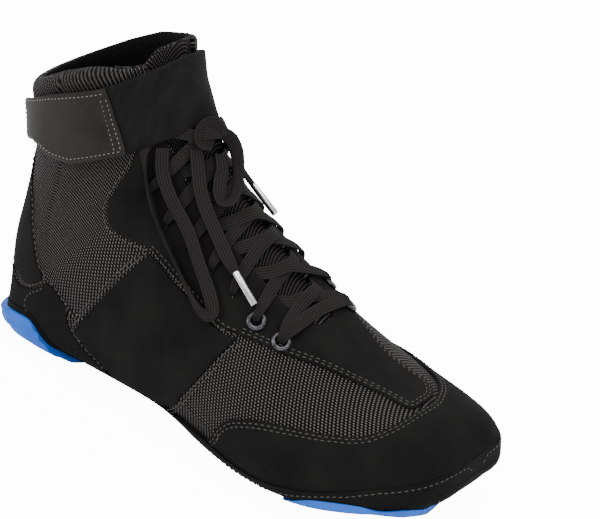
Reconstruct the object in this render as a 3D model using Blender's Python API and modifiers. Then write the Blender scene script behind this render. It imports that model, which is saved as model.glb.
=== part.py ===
"""Wrestling shoe for the right foot: upper, overlays, split sole, strap and lace.

The shoe points along +X, its outer (lateral) side is -Y and its inner (medial) side is +Y.
Every layer of the upper and the sole comes from one last: a row of closed sections that run
from the toe tip along the foot and then up the shaft.  A place on the last is a station,
which counts the rows of the two tables, and a turn, which goes round a section from its top
ridge (0) over the lateral side (+) or the medial side (-) to the bottom and the heel (180).
"""
import bpy
import bmesh
import numpy as np
from math import asin, ceil, cos, degrees, pi, radians, sin
from mathutils import Matrix, Vector
from mathutils.geometry import delaunay_2d_cdt

# The last, in metres. Heights are over the last's own base.
LENGTH = 0.268
BALL_WIDTH = 0.107
HEEL_WIDTH = 0.078
INSTEP_HEIGHT = 0.0925
BACK_HEIGHT = 0.127
FRONT_HEIGHT = 0.165
TOE_SPRING = 0.0105
ARCH_RISE = 0.004

# Walls, layers and the gap between neighbours
GAP = 0.0003
UPPER_WALL = 0.0022
COLLAR_PADDING = 0.0040
OVERLAY = 0.0010
CUP_WALL = 0.0015
TREAD = 0.0036
INSOLE_THICKNESS = 0.0028
TONGUE_THICKNESS = 0.0030

# Sole heights over the ground
RAND_HEIGHT = 0.0150
HEEL_POD_HEIGHT = 0.0215
FOREFOOT_POD_HEIGHT = 0.0060
RIB_DEPTH = 0.0006
RIB_WIDTH = 0.0016

# Throat, eyelets and lace
THROAT_WIDTH = 0.030
EYELET_DIAMETER = 0.0095
EYELET_BORE = 0.0050
EYELET_RIM = 0.0012
EYELET_WALL = 0.0003
LACE_WIDTH = 0.0065
LACE_THICKNESS = 0.0014
CORD_DIAMETER = 0.0030
AGLET_DIAMETER = 0.0036
AGLET_LENGTH = 0.018
KNOT_SIZE = (0.010, 0.010, 0.008)

# Ankle strap
STRAP_THICKNESS = 0.0016
TAB_THICKNESS = 0.0016
STRAP_STANDOFF = 0.0020
STRAP_FRONT_SLACK = 0.0020

BASE_HEIGHT = TREAD + CUP_WALL + 2 * GAP

# Sections of the foot, from the toe tip to the instep.
# base_x, top_x: shares of LENGTH. base_z, top_z: shares of INSTEP_HEIGHT.
# mid, lateral, medial: shares of BALL_WIDTH. widest: share of the section's own height.
FOOT = (
    # base_x, base_z, top_x, top_z, mid, lateral, medial, widest, base_power, top_power
    (1.000, 0.080, 1.000, 0.080, 0.060, 0.000, 0.000, 0.50, 2.0, 2.0),
    (0.997, 0.036, 0.995, 0.190, 0.060, 0.172, 0.150, 0.45, 2.3, 2.0),
    (0.986, 0.010, 0.983, 0.260, 0.056, 0.285, 0.228, 0.40, 2.8, 2.1),
    (0.963, 0.000, 0.959, 0.317, 0.050, 0.370, 0.292, 0.35, 3.2, 2.1),
    (0.926, 0.000, 0.920, 0.363, 0.042, 0.436, 0.351, 0.32, 3.4, 2.1),
    (0.875, 0.000, 0.870, 0.410, 0.030, 0.487, 0.401, 0.30, 3.6, 2.1),
    (0.815, 0.000, 0.811, 0.464, 0.016, 0.521, 0.447, 0.28, 4.2, 2.05),
    (0.748, 0.000, 0.748, 0.541, 0.006, 0.536, 0.472, 0.26, 4.3, 2.0),
    (0.681, 0.000, 0.684, 0.640, 0.000, 0.528, 0.467, 0.25, 4.3, 1.95),
    (0.613, 0.000, 0.623, 0.747, 0.000, 0.507, 0.436, 0.25, 4.3, 1.9),
    (0.542, 0.000, 0.573, 0.844, 0.000, 0.480, 0.396, 0.25, 4.0, 1.85),
    (0.465, 0.000, 0.529, 0.929, 0.000, 0.458, 0.366, 0.25, 4.3, 1.85),
    (0.378, 0.000, 0.492, 1.000, 0.000, 0.440, 0.350, 0.26, 4.5, 1.85),
)
# Sections of the shaft, from the instep to the collar, and one row past its rim.
# base_z: share of BACK_HEIGHT. top_z: share of the way from INSTEP_HEIGHT to FRONT_HEIGHT.
# mid, lateral, medial: shares of HEEL_WIDTH.
SHAFT = (
    # base_x, base_z, top_x, top_z, mid, lateral, medial, widest, base_power, top_power
    (0.265, 0.000, 0.459, 0.105, 0.0, 0.565, 0.485, 0.27, 4.5, 1.85),
    (0.141, 0.000, 0.430, 0.205, 0.0, 0.550, 0.490, 0.29, 5.0, 1.9),
    (0.060, 0.010, 0.405, 0.300, 0.0, 0.530, 0.488, 0.33, 4.2, 1.95),
    (0.031, 0.120, 0.382, 0.395, 0.0, 0.503, 0.480, 0.39, 2.9, 2.0),
    (0.0135, 0.292, 0.359, 0.500, 0.0, 0.482, 0.470, 0.44, 2.2, 2.0),
    (0.026, 0.468, 0.339, 0.605, 0.0, 0.464, 0.459, 0.48, 2.1, 2.1),
    (0.038, 0.617, 0.323, 0.710, 0.0, 0.453, 0.453, 0.50, 2.1, 2.1),
    (0.041, 0.768, 0.312, 0.815, 0.0, 0.445, 0.445, 0.50, 2.1, 2.2),
    (0.034, 0.912, 0.303, 0.920, 0.0, 0.453, 0.453, 0.50, 2.1, 2.2),
    (0.034, 1.000, 0.299, 1.000, 0.0, 0.459, 0.459, 0.50, 2.1, 2.2),
    (0.032, 1.080, 0.295, 1.110, 0.0, 0.462, 0.462, 0.50, 2.1, 2.2),
)
RIM = len(FOOT) + len(SHAFT) - 2

# Half the throat's width along the lacing, as shares of THROAT_WIDTH
THROAT = (
    # station, share
    (0.0, 0.30),
    (6.0, 0.30),
    (7.6, 0.26),
    (8.2, 0.22),
    (8.6, 0.35),
    (9.5, 0.42),
    (11.0, 0.47),
    (13.0, 0.50),
    (17.0, 0.52),
    (20.0, 0.55),
    (23.0, 0.60),
)
THROAT_START = 8.2

# Stations of the rings that every layer shares, and its turns from the throat's edge down
RINGS = (0, 0.4, 1.1, 2, 3, 4, 5, 6, 7, 8.2, 8.8, 9.7, 10.8, 11.9, 13, 13.7, 14.3, 14.8,
         15.4, 16.1, 17, 18, 19, 20, 21, 22, 22.2)
TONGUE_RINGS = tuple(ring for ring in RINGS if ring >= 7) + (22.4,)
SIDE_STEPS = 6
SIDE_END = 97.0
LOW_TURNS = (111.0, 125.0, 141.0, 157.5, 180.0)

# Height of the sole's pieces along its side, as shares of LENGTH and of their own heights
RAND_LINE = (
    # x, height
    (-0.06, 1.04), (0.02, 1.06), (0.05, 1.24), (0.085, 1.45), (0.115, 1.55), (0.144, 1.58),
    (0.163, 1.44), (0.183, 1.10), (0.20, 0.84), (0.24, 0.60), (0.34, 0.60), (0.44, 0.72),
    (0.54, 0.90), (0.60, 0.98), (0.66, 0.86), (0.74, 0.84), (0.80, 0.94), (0.86, 1.14),
    (0.93, 1.38), (1.00, 1.42), (1.06, 1.42),
)
HEEL_POD_LINE = (
    (-0.06, 0.54), (0.02, 0.56), (0.05, 0.70), (0.085, 0.87), (0.115, 0.94), (0.144, 0.97),
    (0.161, 0.86), (0.181, 0.60), (0.197, 0.38), (0.22, 0.20), (0.24, 0.04),
)
FOREFOOT_POD_LINE = (
    (0.485, 0.10), (0.52, 0.40), (0.60, 0.46), (0.70, 0.46), (0.76, 0.55), (0.79, 1.10),
    (0.83, 1.85), (0.87, 2.05), (0.91, 1.95), (0.94, 1.55), (0.968, 1.55), (0.983, 1.30),
    (0.992, 0.90), (1.06, 0.90),
)
# Front edge of the forefoot pod in plan, from the lateral side to the medial one
FOREFOOT_POD_FRONT = (
    # share of LENGTH, share of BALL_WIDTH
    (0.9999, -0.40), (0.9255, 0.54),
)

PADDING_START = 19.0
# How far the rim dips, in stations, at each turn
RIM_DIP = ((-180, -120, -90, -60, -30, 12, 26, 37, 47, 57, 71, 90, 127, 160, 180),
           (0.10, 0.00, 0.05, 0.55, 0.95, 0.95, 1.55, 1.40, 1.15, 0.75, 0.35, 0.15, 0.25,
            0.15, 0.10))
RIM_DIP_START = 20.0
# How far the rand swells at each turn, and how much of that shows at each station
RAND_SWELL = 0.0016
SWELL_TURNS = ((80, 97, 111, 125, 141, 157.5), (0, 0.3, 0.8, 1.0, 0.65, 0))
SWELL_STATIONS = ((0, 1.1, 9.7, 10.8), (0, 0.8, 1.0, 0))
# Thickness that a pod's side reaches at each turn, as a share of TREAD
POD_TURNS = ((80, 97, 111, 125, 141), (0.30, 0.33, 0.46, 0.76, 1.0))
INSOLE_EDGE = ((125, 141, 157.5), (0.30, 0.75, 1.0))
RIM_ROUNDING = ((0, 21, 22, 22.2), (0, 0, 0.25, 1.0))
LASTING_EDGE = 157.5
HEEL_SEAT = 14.8
FLAT_SPOT = 0.0004
HEEL_GROOVES = (
    ((-0.06, 0.38), (0.02, 0.40), (0.05, 0.50), (0.085, 0.64), (0.12, 0.70), (0.15, 0.64),
     (0.185, 0.32)),
    ((0.02, 0.24), (0.05, 0.30), (0.085, 0.41), (0.12, 0.46), (0.16, 0.34)),
)
# Places of the lace holes up the throat, ringed ones first
LACING = (
    # station, turn
    (8.38, 29), (9.22, 33), (10.3, 35), (11.35, 37), (12.45, 39), (13.6, 41), (15.2, 40),
)
RINGED_ROWS = 2

# Outlines of the panels on the lateral side, as (station, turn) runs that share their ends
TOE_CAP_EDGE = (
    (9.5, 128), (9.3, 108), (8.7, 82), (8.0, 69), (7.0, 58), (5.9, 49), (5.1, 41), (4.65, 25),
    (4.5, 5), (4.55, -8), (5.1, -27), (6.0, -42), (7.0, -54), (8.0, -66), (8.7, -80),
    (9.3, -108), (9.5, -128),
)
TOE_CAP_END = 9.7
VAMP_EDGE = ((9.4, 43.8), (8.3, 33), (7.1, 19), (5.8, 10.5), (4.78, 9.0), (4.64, 0), (4.74, -11),
             (5.3, -22), (5.9, -22), (6.7, -22), (7.5, -27), (8.3, -33), (9.5, -43.5))
EYESTAY_LOBE = ((13.4, 50.6), (14.32, 55.2), (15.18, 58.1), (15.9, 58.1), (16.34, 50.8),
                (16.8, 43.5), (18.4, 38.5), (20.2, 34))
EYESTAY_SEAM = ((13.4, 50.6), (12.3, 50.5), (11.26, 50.2), (10.07, 48.8), (9.4, 43.8))
SADDLE = (
    ((9.4, 46.0), (10.07, 50.9), (11.26, 52.2), (12.3, 52.5), (13.25, 52.4)),
    ((13.25, 52.4), (13.4, 70), (13.46, 91.5)),
    ((13.46, 91.5), (13.24, 95.5), (12.92, 102.3), (12.46, 114), (12.42, 135), (12.4, 150)),
    ((12.4, 150), (11.5, 148)),
    ((11.5, 148), (11.2, 130), (10.87, 116), (10.35, 92), (9.85, 70.6), (9.4, 46.0)),
)
FOXING_SIDE = ((12.62, 150), (12.6, 135), (12.6, 114), (13.06, 102.3), (13.38, 95.5),
               (13.62, 91.4), (14.1, 88.5), (14.62, 87.6), (14.92, 89.3))
FOXING_TOP = ((14.92, 89.3), (15.15, 94), (15.6, 108), (16.15, 130), (16.5, 155), (16.6, 180))
STAY_FOOT = ((15.1, 90.2), (15.3, 94.7), (15.74, 108), (16.28, 130), (16.62, 155), (16.72, 180))
STAY_EDGE = ((20.2, 160), (19.4, 148), (18.5, 131.5), (17.6, 114.5), (16.83, 104.8),
             (16.09, 96.8), (15.45, 90.9), (15.1, 90.2))

# Edges of the ankle strap round the shaft; the medial side repeats the lateral one
STRAP_EDGES = (
    # turn, lower station, upper station
    (0, 16.52, 20.62), (20, 16.62, 20.52), (33, 16.87, 20.50), (46, 17.16, 20.50),
    (57, 17.48, 20.56), (69, 17.77, 20.70), (80, 18.04, 20.85), (96, 18.75, 21.00),
    (108, 19.30, 20.99), (120, 19.62, 20.98), (141, 19.80, 20.95), (180, 19.80, 21.00),
)
ELASTIC_SPAN = (-58, 62)
TAB_SPAN = (52, 142)
ANCHOR_SPAN = (-166, -59)

# Routes of the lace's free stretches, as places of the last with their lift in metres
LOOP_LATERAL = (
    # station, turn, lift
    (16.15, 15, 0.0066), (16.4, 23, 0.0060), (16.35, 31, 0.0056), (15.8, 37, 0.0056),
    (15.0, 39, 0.0056), (13.7, 42, 0.0056), (12.4, 46, 0.0050), (11.3, 50, 0.0040),
    (10.7, 51, 0.0038), (10.4, 48, 0.0038), (10.75, 43.5, 0.0046), (11.7, 39, 0.0056),
    (12.8, 34.5, 0.0060), (14.2, 32, 0.0058), (15.6, 30, 0.0056),
)
END_LATERAL = (
    (15.1, 12, 0.0068), (14.4, 17, 0.0064), (13.45, 21.5, 0.0062), (12.2, 25, 0.0062),
    (11.0, 28, 0.0062), (10.6, 29, 0.0062),
)
LOOP_MEDIAL = (
    (15.75, -7, 0.0071), (15.15, -10, 0.0069), (14.2, -7.5, 0.0065), (13.4, -1, 0.0063),
    (12.85, 6.5, 0.0063), (12.65, 11.5, 0.0063), (12.95, 14.5, 0.0063), (13.4, 11, 0.0063),
    (13.9, 4, 0.0063), (14.5, -0.5, 0.0065), (15.05, -2.5, 0.0069),
)
END_MEDIAL = (
    (16.3, -7, 0.0071), (16.35, -15, 0.0067), (16.25, -23, 0.0063), (15.8, -29, 0.0063),
    (15.0, -32.5, 0.0060), (14.1, -34, 0.0058), (13.3, -34.5, 0.0059),
)

# Steps of the strap's grid, drill sides and reach of the panels' cutters
PLANE_TURN = 15.0
STRAP_STEP = 11.0
STRAP_ROWS = 4
STRAP_FOLD_TURN = 25.0
HOLE_SIDES = 10
PATCH_REACH = 0.004
KNOT_PLACE = (15.9, 4)
LACE_RINGS = 5
CORD_SPACING = 2.9
LOOSE = ("lace_knot", "lace_loop_lateral", "lace_loop_medial", "lace_end_lateral",
         "lace_end_medial", "aglet_lateral", "aglet_medial")

COLORS = {
    # name: (red, green, blue), roughness, metallic
    "black_suede": ((0.012, 0.012, 0.011), 0.85, 0.0),
    "air_mesh": ((0.035, 0.035, 0.034), 0.75, 0.0),
    "black_rubber": ((0.010, 0.010, 0.010), 0.55, 0.0),
    "blue_rubber": ((0.044, 0.225, 0.665), 0.45, 0.0),
    "lining": ((0.020, 0.020, 0.020), 0.90, 0.0),
    "elastic": ((0.024, 0.024, 0.023), 0.80, 0.0),
    "strap_leather": ((0.040, 0.038, 0.034), 0.60, 0.0),
    "gunmetal": ((0.300, 0.300, 0.310), 0.30, 1.0),
    "lace_cotton": ((0.022, 0.022, 0.021), 0.85, 0.0),
    "aglet": ((0.600, 0.600, 0.610), 0.25, 0.8),
}


def last_sections():
    """All sections in metres, toe to collar, one row each."""
    rows = []
    for base_x, base_z, top_x, top_z, mid, lateral, medial, widest, low, high in FOOT:
        rows.append((base_x * LENGTH, base_z * INSTEP_HEIGHT, top_x * LENGTH,
                     top_z * INSTEP_HEIGHT, mid * BALL_WIDTH, lateral * BALL_WIDTH,
                     medial * BALL_WIDTH, widest, low, high))
    climb = FRONT_HEIGHT - INSTEP_HEIGHT
    for base_x, base_z, top_x, top_z, mid, lateral, medial, widest, low, high in SHAFT:
        rows.append((base_x * LENGTH, base_z * BACK_HEIGHT, top_x * LENGTH,
                     INSTEP_HEIGHT + top_z * climb, mid * HEEL_WIDTH, lateral * HEEL_WIDTH,
                     medial * HEEL_WIDTH, widest, low, high))
    return np.array(rows)


SECTIONS = last_sections()


def between_rows(table, place):
    """Catmull-Rom curve through the rows of a table, at fractional row numbers."""
    last = len(table) - 1
    row = np.clip(np.floor(place).astype(int), 0, last - 1)
    f = (place - row)[..., None]
    before = table[np.maximum(row - 1, 0)]
    here = table[row]
    there = table[row + 1]
    after = table[np.minimum(row + 2, last)]
    bend = 2 * before - 5 * here + 4 * there - after
    swing = 3 * (here - there) + after - before
    return here + 0.5 * f * (there - before + f * (bend + f * swing))


def along_table(table, place):
    """Straight-line value of a two-column table at a place."""
    columns = np.array(table, float)
    return np.interp(place, columns[:, 0], columns[:, 1])


def ground_curve(x):
    """Height that toe spring and arch add at x."""
    toe = np.clip((x / LENGTH - 0.667) / 0.333, 0, 1.1)
    arch = np.exp(-((x / LENGTH - 0.44) / 0.135) ** 2)
    return TOE_SPRING * toe ** 2 + ARCH_RISE * arch


def skin(station, turn):
    """Points on the last's surface; turn in radians."""
    station, turn = np.broadcast_arrays(np.asarray(station, float), np.asarray(turn, float))
    turn = (turn + pi) % (2 * pi) - pi
    row = between_rows(SECTIONS, station)
    base_x, base_z, top_x, top_z, mid, lateral, medial, widest, low, high = np.moveaxis(row, -1, 0)
    upper_half = np.cos(turn) >= 0
    power = np.where(upper_half, high, low)
    along = np.abs(np.cos(turn)) ** (2 / power)
    rise = np.where(upper_half, widest + (1 - widest) * along, widest * (1 - along))
    half = np.maximum(np.where(turn >= 0, lateral, medial), 0)
    half = half * np.abs(np.sin(turn)) ** (2 / power)
    x = base_x + (top_x - base_x) * rise
    y = mid - np.sign(turn) * half
    z = BASE_HEIGHT + base_z + (top_z - base_z) * rise
    return np.stack([x, y, z + ground_curve(x)], -1)


def outward(station, turn):
    """Unit normals of the last."""
    station, turn = np.broadcast_arrays(np.asarray(station, float), np.asarray(turn, float))
    ds, dt = 0.04, 0.03
    low = np.maximum(station - ds, 0.02)
    along = skin(low + 2 * ds, turn) - skin(low, turn)
    around = skin(np.maximum(station, 0.05), turn + dt) - skin(np.maximum(station, 0.05), turn - dt)
    normal = np.cross(along, around)
    normal = normal / np.maximum(np.linalg.norm(normal, axis=-1, keepdims=True), 1e-12)
    at_tip = (station <= 0)[..., None]
    return np.where(at_tip, np.array([1.0, 0.0, 0.0]), normal)


def lifted(station, turn, lift):
    """Points at a height over the last's surface."""
    return skin(station, turn) + outward(station, turn) * np.asarray(lift)[..., None]


def throat_turn(station):
    """Turn of the throat's edge, in radians, from its half width."""
    wide = along_table(THROAT, station) * THROAT_WIDTH
    row = between_rows(SECTIONS, np.asarray(float(station)))
    half = max(0.5 * (row[5] + row[6]), wide * 1.05)
    edge = asin(min((wide / half) ** (row[9] / 2), 1.0))
    ahead = min(station / THROAT_START, 1.0)
    return edge * ahead + radians(12) * (1 - ahead)


def ring_turns(station, low_turns=LOW_TURNS):
    """Turns of one ring, medial bottom to lateral bottom, through the ridge."""
    edge = degrees(throat_turn(station))
    side = [edge + (SIDE_END - edge) * step / SIDE_STEPS for step in range(SIDE_STEPS + 1)]
    side += list(low_turns)
    ring = [-turn for turn in reversed(side)] + [0.0] + side
    return [radians(turn) for turn in ring]


ALL_TURNS = [ring_turns(station) for station in RINGS]
TONGUE_TURNS = [ring_turns(station) for station in TONGUE_RINGS]


def new_material(name):
    color, roughness, metallic = COLORS[name]
    material = bpy.data.materials.new(name)
    material.use_nodes = True
    shader = material.node_tree.nodes["Principled BSDF"]
    shader.inputs["Base Color"].default_value = (*color, 1.0)
    shader.inputs["Roughness"].default_value = roughness
    shader.inputs["Metallic"].default_value = metallic
    material.diffuse_color = (*color, 1.0)
    return material


def add_object(name, mesh, material, home):
    thing = bpy.data.objects.new(name, mesh)
    home.objects.link(thing)
    if material:
        mesh.materials.append(new_material(material))
    return thing


def mesh_from(name, points, faces):
    """A closed mesh with its coincident points merged and its faces outward."""
    work = bmesh.new()
    corners = [work.verts.new(point) for point in points]
    for face in faces:
        work.faces.new([corners[index] for index in face])
    bmesh.ops.remove_doubles(work, verts=work.verts[:], dist=1e-6)
    bmesh.ops.dissolve_degenerate(work, edges=work.edges[:], dist=1e-7)
    loose = [vert for vert in work.verts if not vert.link_faces]
    bmesh.ops.delete(work, geom=loose, context="VERTS")
    bmesh.ops.recalc_face_normals(work, faces=work.faces[:])
    mesh = bpy.data.meshes.new(name)
    work.to_mesh(mesh)
    work.free()
    return mesh


def shell(outer_points, inner_points, cells):
    """Points and faces of a wall between two equal grids, over some of their cells.

    Each cell is split the same way on both faces, so that layers stay a gap apart.
    """
    rows, columns = outer_points.shape[:2]
    flat = outer_points.reshape(-1, 3)
    keys = {}
    merged = []
    for point in flat:
        key = tuple(np.round(point * 1e6).astype(int))
        merged.append(keys.setdefault(key, len(keys)))
    points = [tuple(point) for point in flat]
    points += [tuple(point) for point in inner_points.reshape(-1, 3)]
    inner = rows * columns
    faces = []
    edges = {}
    for row, column in cells:
        first = row * columns + column
        nodes = [first, first + columns, first + columns + 1, first + 1]
        halves = ([nodes[0], nodes[1], nodes[2]], [nodes[0], nodes[2], nodes[3]])
        if column < columns // 2:
            halves = ([nodes[0], nodes[1], nodes[3]], [nodes[1], nodes[2], nodes[3]])
        for half in halves:
            faces.append(half)
            faces.append([inner + node for node in reversed(half)])
        for start, end in zip(nodes, nodes[1:] + nodes[:1]):
            if merged[start] != merged[end]:
                edges[(merged[start], merged[end])] = (start, end)
    for (start, end), (node, following) in edges.items():
        if (end, start) not in edges:
            faces.append([following, node, inner + node, inner + following])
    return points, faces


def dipped(station, turn):
    """Stations near the rim, which is lower at the throat than behind."""
    dip = np.interp(np.degrees(turn), RIM_DIP[0], RIM_DIP[1])
    share = np.clip((station - RIM_DIP_START) / (RINGS[-1] - RIM_DIP_START), 0, None)
    return station - dip * share


def layer(name, stations, turn_rows, low, high, keep):
    """A wall of the last between two lifts, which may vary with station and turn."""
    turns = np.array(turn_rows)
    place = np.broadcast_to(np.array(stations, float)[:, None], turns.shape)
    real = dipped(place, turns)
    inner = lifted(real, turns, low(place, turns) if callable(low) else np.full(turns.shape, low))
    outer = lifted(real, turns, high(place, turns) if callable(high) else np.full(turns.shape, high))
    cells = []
    for row in range(turns.shape[0] - 1):
        for column in range(turns.shape[1] - 1):
            middle = place[row:row + 2, column].mean()
            turn = degrees(turns[row:row + 2, column:column + 2].mean())
            if keep(middle, turn):
                cells.append((row, column))
    points, faces = shell(outer, inner, cells)
    return mesh_from(name, points, faces)


def as_cutter(thing):
    thing.hide_render = True
    thing.display_type = "WIRE"
    return thing


def cut(thing, cutter, operation):
    modifier = thing.modifiers.new(operation.lower(), "BOOLEAN")
    modifier.object = cutter
    modifier.operation = operation
    modifier.solver = "EXACT"


def side_cutter(name, line, height, home, grow=0.0, thickness=None):
    """A block under a line of the side view, or a strip that hangs from it, across the shoe."""
    shares = np.array(line, float)
    xs = np.linspace(shares[0, 0], shares[-1, 0], 22)
    place = np.interp(xs, shares[:, 0], np.arange(len(line)))
    heights = between_rows(shares, place)[:, 1] * height + grow + ground_curve(xs * LENGTH)
    xs = xs * LENGTH
    outline = list(zip(xs, heights))
    if thickness:
        outline += list(zip(xs, heights - thickness))[::-1]
    else:
        outline += [(xs[-1], -BASE_HEIGHT), (xs[0], -BASE_HEIGHT)]
    half = BALL_WIDTH
    return prism(name, [(x, -half, z) for x, z in outline], [(x, half, z) for x, z in outline],
                 home)


def front_cutter(name, line, home):
    """A block ahead of a line of the plan view."""
    (x0, y0), (x1, y1) = ((x * LENGTH, y * BALL_WIDTH) for x, y in line)
    ahead = 1.2 * LENGTH
    outline = ((x0, y0), (x1, y1), (ahead, y1), (ahead, y0))
    return prism(name, [(x, y, -BASE_HEIGHT) for x, y in outline],
                 [(x, y, INSTEP_HEIGHT) for x, y in outline], home)


def prism(name, near, far, home):
    """A closed cutter between two matching outlines."""
    total = len(near)
    faces = [list(range(total)), list(range(2 * total - 1, total - 1, -1))]
    for node in range(total):
        after = (node + 1) % total
        faces.append([node, node + total, after + total, after])
    return as_cutter(add_object(name, mesh_from(name, near + far, faces), None, home))


def smooth_outline(runs):
    """A closed outline, in the plane it is triangulated in, from smooth runs that share ends."""
    outline = []
    for run in runs:
        rows = np.array(run, float)
        steps = 2 * (len(rows) - 1)
        place = np.linspace(0, len(rows) - 1, steps + 1)[:-1]
        outline += [tuple(pair) for pair in between_rows(rows, place)]
    dense = []
    for (s0, t0), (s1, t1) in zip(outline, outline[1:] + outline[:1]):
        pieces = max(1, ceil(max(abs(s1 - s0) / 1.7, abs(t1 - t0) / 24)))
        dense += [(s0 + (s1 - s0) * i / pieces, t0 + (t1 - t0) * i / pieces) for i in range(pieces)]
    return [(station, turn / PLANE_TURN) for station, turn in dense]


def inside(point, outline):
    x, y = point
    hits = 0
    for (x0, y0), (x1, y1) in zip(outline, outline[1:] + outline[:1]):
        if (y0 > y) != (y1 > y) and x < x0 + (x1 - x0) * (y - y0) / (y1 - y0):
            hits += 1
    return hits % 2 == 1


def edge_distance(point, outline):
    here = Vector(point)
    best = 1e9
    for start, end in zip(outline, outline[1:] + outline[:1]):
        a, b = Vector(start), Vector(end)
        along = b - a
        share = min(1.0, max(0.0, (here - a).dot(along) / max(along.length_squared, 1e-12)))
        best = min(best, (here - a - along * share).length)
    return best


def patch_cutter(name, runs, low, high, home):
    """A block that follows the last's normals, over a closed outline on its surface."""
    outline = smooth_outline(runs)
    spots = list(outline)
    for station in range(3, 24):
        for turn in range(-180, 361, 15):
            spot = (station, turn / PLANE_TURN)
            if inside(spot, outline) and edge_distance(spot, outline) > 0.35:
                spots.append(spot)
    count = len(outline)
    ring = [(i, (i + 1) % count) for i in range(count)]
    flat, _, triangles, _, _, _ = delaunay_2d_cdt([Vector(s) for s in spots], ring, [], 1, 1e-6)
    stations = np.array([spot.x for spot in flat])
    turns = np.radians([spot.y * PLANE_TURN for spot in flat])
    under = lifted(stations, turns, np.full(len(flat), low))
    over = lifted(stations, turns, np.full(len(flat), high))
    total = len(flat)
    points = [tuple(p) for p in over] + [tuple(p) for p in under]
    faces = []
    edges = set()
    for triangle in triangles:
        faces.append(list(triangle))
        faces.append([node + total for node in reversed(triangle)])
        for start, end in zip(triangle, triangle[1:] + triangle[:1]):
            edges.add((start, end))
    for start, end in edges:
        if (end, start) not in edges:
            faces.append([end, start, start + total, end + total])
    return as_cutter(add_object(name, mesh_from(name, points, faces), None, home))


def mirrored(runs):
    """The same outline on the medial side."""
    return [[(station, -turn) for station, turn in run] for run in runs]


def far_side(run):
    """The mirror of a run past the heel, taken backwards."""
    return [(station, 360 - turn) for station, turn in reversed(run)]


def around_heel(run):
    """A run from the lateral side to the heel's middle, and on to its mirror."""
    return list(run) + far_side(run[:-1])


def ribbon(name, route, width, thickness, home):
    """A flat lace along (station, turn, lift) places of the last, turns in degrees."""
    rows = np.array(route, float)
    line = between_rows(rows, np.linspace(0, len(rows) - 1, LACE_RINGS))
    stations, turns = line[:, 0], np.radians(line[:, 1])
    centre = lifted(stations, turns, line[:, 2])
    up = outward(stations, turns)
    along = np.gradient(centre, axis=0)
    across = np.cross(up, along)
    across = across / np.linalg.norm(across, axis=1, keepdims=True) * width / 2
    up = up * thickness / 2
    rings = np.stack([centre - across - up, centre + across - up,
                      centre + across + up, centre - across + up], axis=1)
    return loft(name, rings, home, None)


def loft(name, rings, home, material):
    """A solid through equal rings, closed at both ends."""
    count, sides = rings.shape[:2]
    points = [tuple(point) for point in rings.reshape(-1, 3)]
    faces = [list(range(sides)), list(range((count - 1) * sides, count * sides))[::-1]]
    for row in range(count - 1):
        for side in range(sides):
            after = (side + 1) % sides
            faces.append([row * sides + side, row * sides + after,
                          (row + 1) * sides + after, (row + 1) * sides + side])
    return add_object(name, mesh_from(name, points, faces), material, home)


def cord_points(route):
    """The points of a cord's route in metres."""
    rows = np.array(route, float)
    return lifted(rows[:, 0], np.radians(rows[:, 1]), rows[:, 2])


def cord(name, route, diameter, home, material):
    """A round cord, read from a smooth curve at even steps."""
    rows = cord_points(route)
    fine = between_rows(rows, np.linspace(0, len(rows) - 1, 40 * len(rows)))
    length = np.concatenate([[0], np.cumsum(np.linalg.norm(np.diff(fine, axis=0), axis=1))])
    count = max(3, int(length[-1] / (CORD_SPACING * diameter)) + 1)
    even = [np.interp(np.linspace(0, length[-1], count), length, fine[:, i]) for i in range(3)]
    curve = bpy.data.curves.new(name, "CURVE")
    curve.dimensions = "3D"
    curve.bevel_depth = diameter / 2
    curve.bevel_resolution = 2
    curve.use_fill_caps = True
    spline = curve.splines.new("POLY")
    spline.points.add(count - 1)
    for point, x, y, z in zip(spline.points, *even):
        point.co = (x, y, z, 1)
    thing = bpy.data.objects.new(name, curve)
    curve.materials.append(new_material(material))
    home.objects.link(thing)
    return thing


def empty_work():
    for thing in list(bpy.data.objects):
        bpy.data.objects.remove(thing, do_unlink=True)
    homes = []
    for name in ("wrestling_shoe", "cutters"):
        home = bpy.data.collections.new(name)
        bpy.context.scene.collection.children.link(home)
        homes.append(home)
    return homes


def in_throat(station, turn):
    return station > THROAT_START and abs(turn) < degrees(throat_turn(station)) * 0.98


def rim_round(station):
    """How far the padded rim's outer and inner faces draw together near its top."""
    return np.interp(station, RIM_ROUNDING[0], RIM_ROUNDING[1]) * COLLAR_PADDING


def upper_inside(station, turn):
    """Lift of the upper's inner face: wall, and padding round the ankle."""
    near_rim = np.clip((station - PADDING_START) / 2.2, 0, 1)
    behind = np.clip((np.abs(turn) - radians(52)) / radians(18), 0, 1)
    return -UPPER_WALL - COLLAR_PADDING * near_rim * behind + 0.5 * rim_round(station) * behind


def upper_outside(station, turn):
    behind = np.clip((np.abs(turn) - radians(52)) / radians(18), 0, 1)
    return -0.5 * rim_round(station) * behind


def make_upper(home):
    def wall(station, turn):
        lasted = station > HEEL_SEAT or abs(turn) < LASTING_EDGE
        return lasted and not in_throat(station, turn)
    mesh = layer("upper", RINGS, ALL_TURNS, upper_inside, upper_outside, wall)
    return add_object("upper", mesh, "air_mesh", home)


def rand_outside(station, turn):
    """Lift of the rand's outer face, which swells low on the forefoot's sides."""
    side = np.interp(np.abs(np.degrees(turn)), SWELL_TURNS[0], SWELL_TURNS[1])
    return GAP + CUP_WALL + RAND_SWELL * side * np.interp(station, SWELL_STATIONS[0],
                                                          SWELL_STATIONS[1])


def pod_inside(station, turn):
    return rand_outside(station, turn) + GAP


def pod_outside(station, turn):
    """Lift of a pod's outer face, thin up its sides and full under the foot."""
    share = np.interp(np.abs(np.degrees(turn)), POD_TURNS[0], POD_TURNS[1])
    return np.maximum(2 * GAP + CUP_WALL + TREAD * share, pod_inside(station, turn) + RIB_DEPTH)


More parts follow.
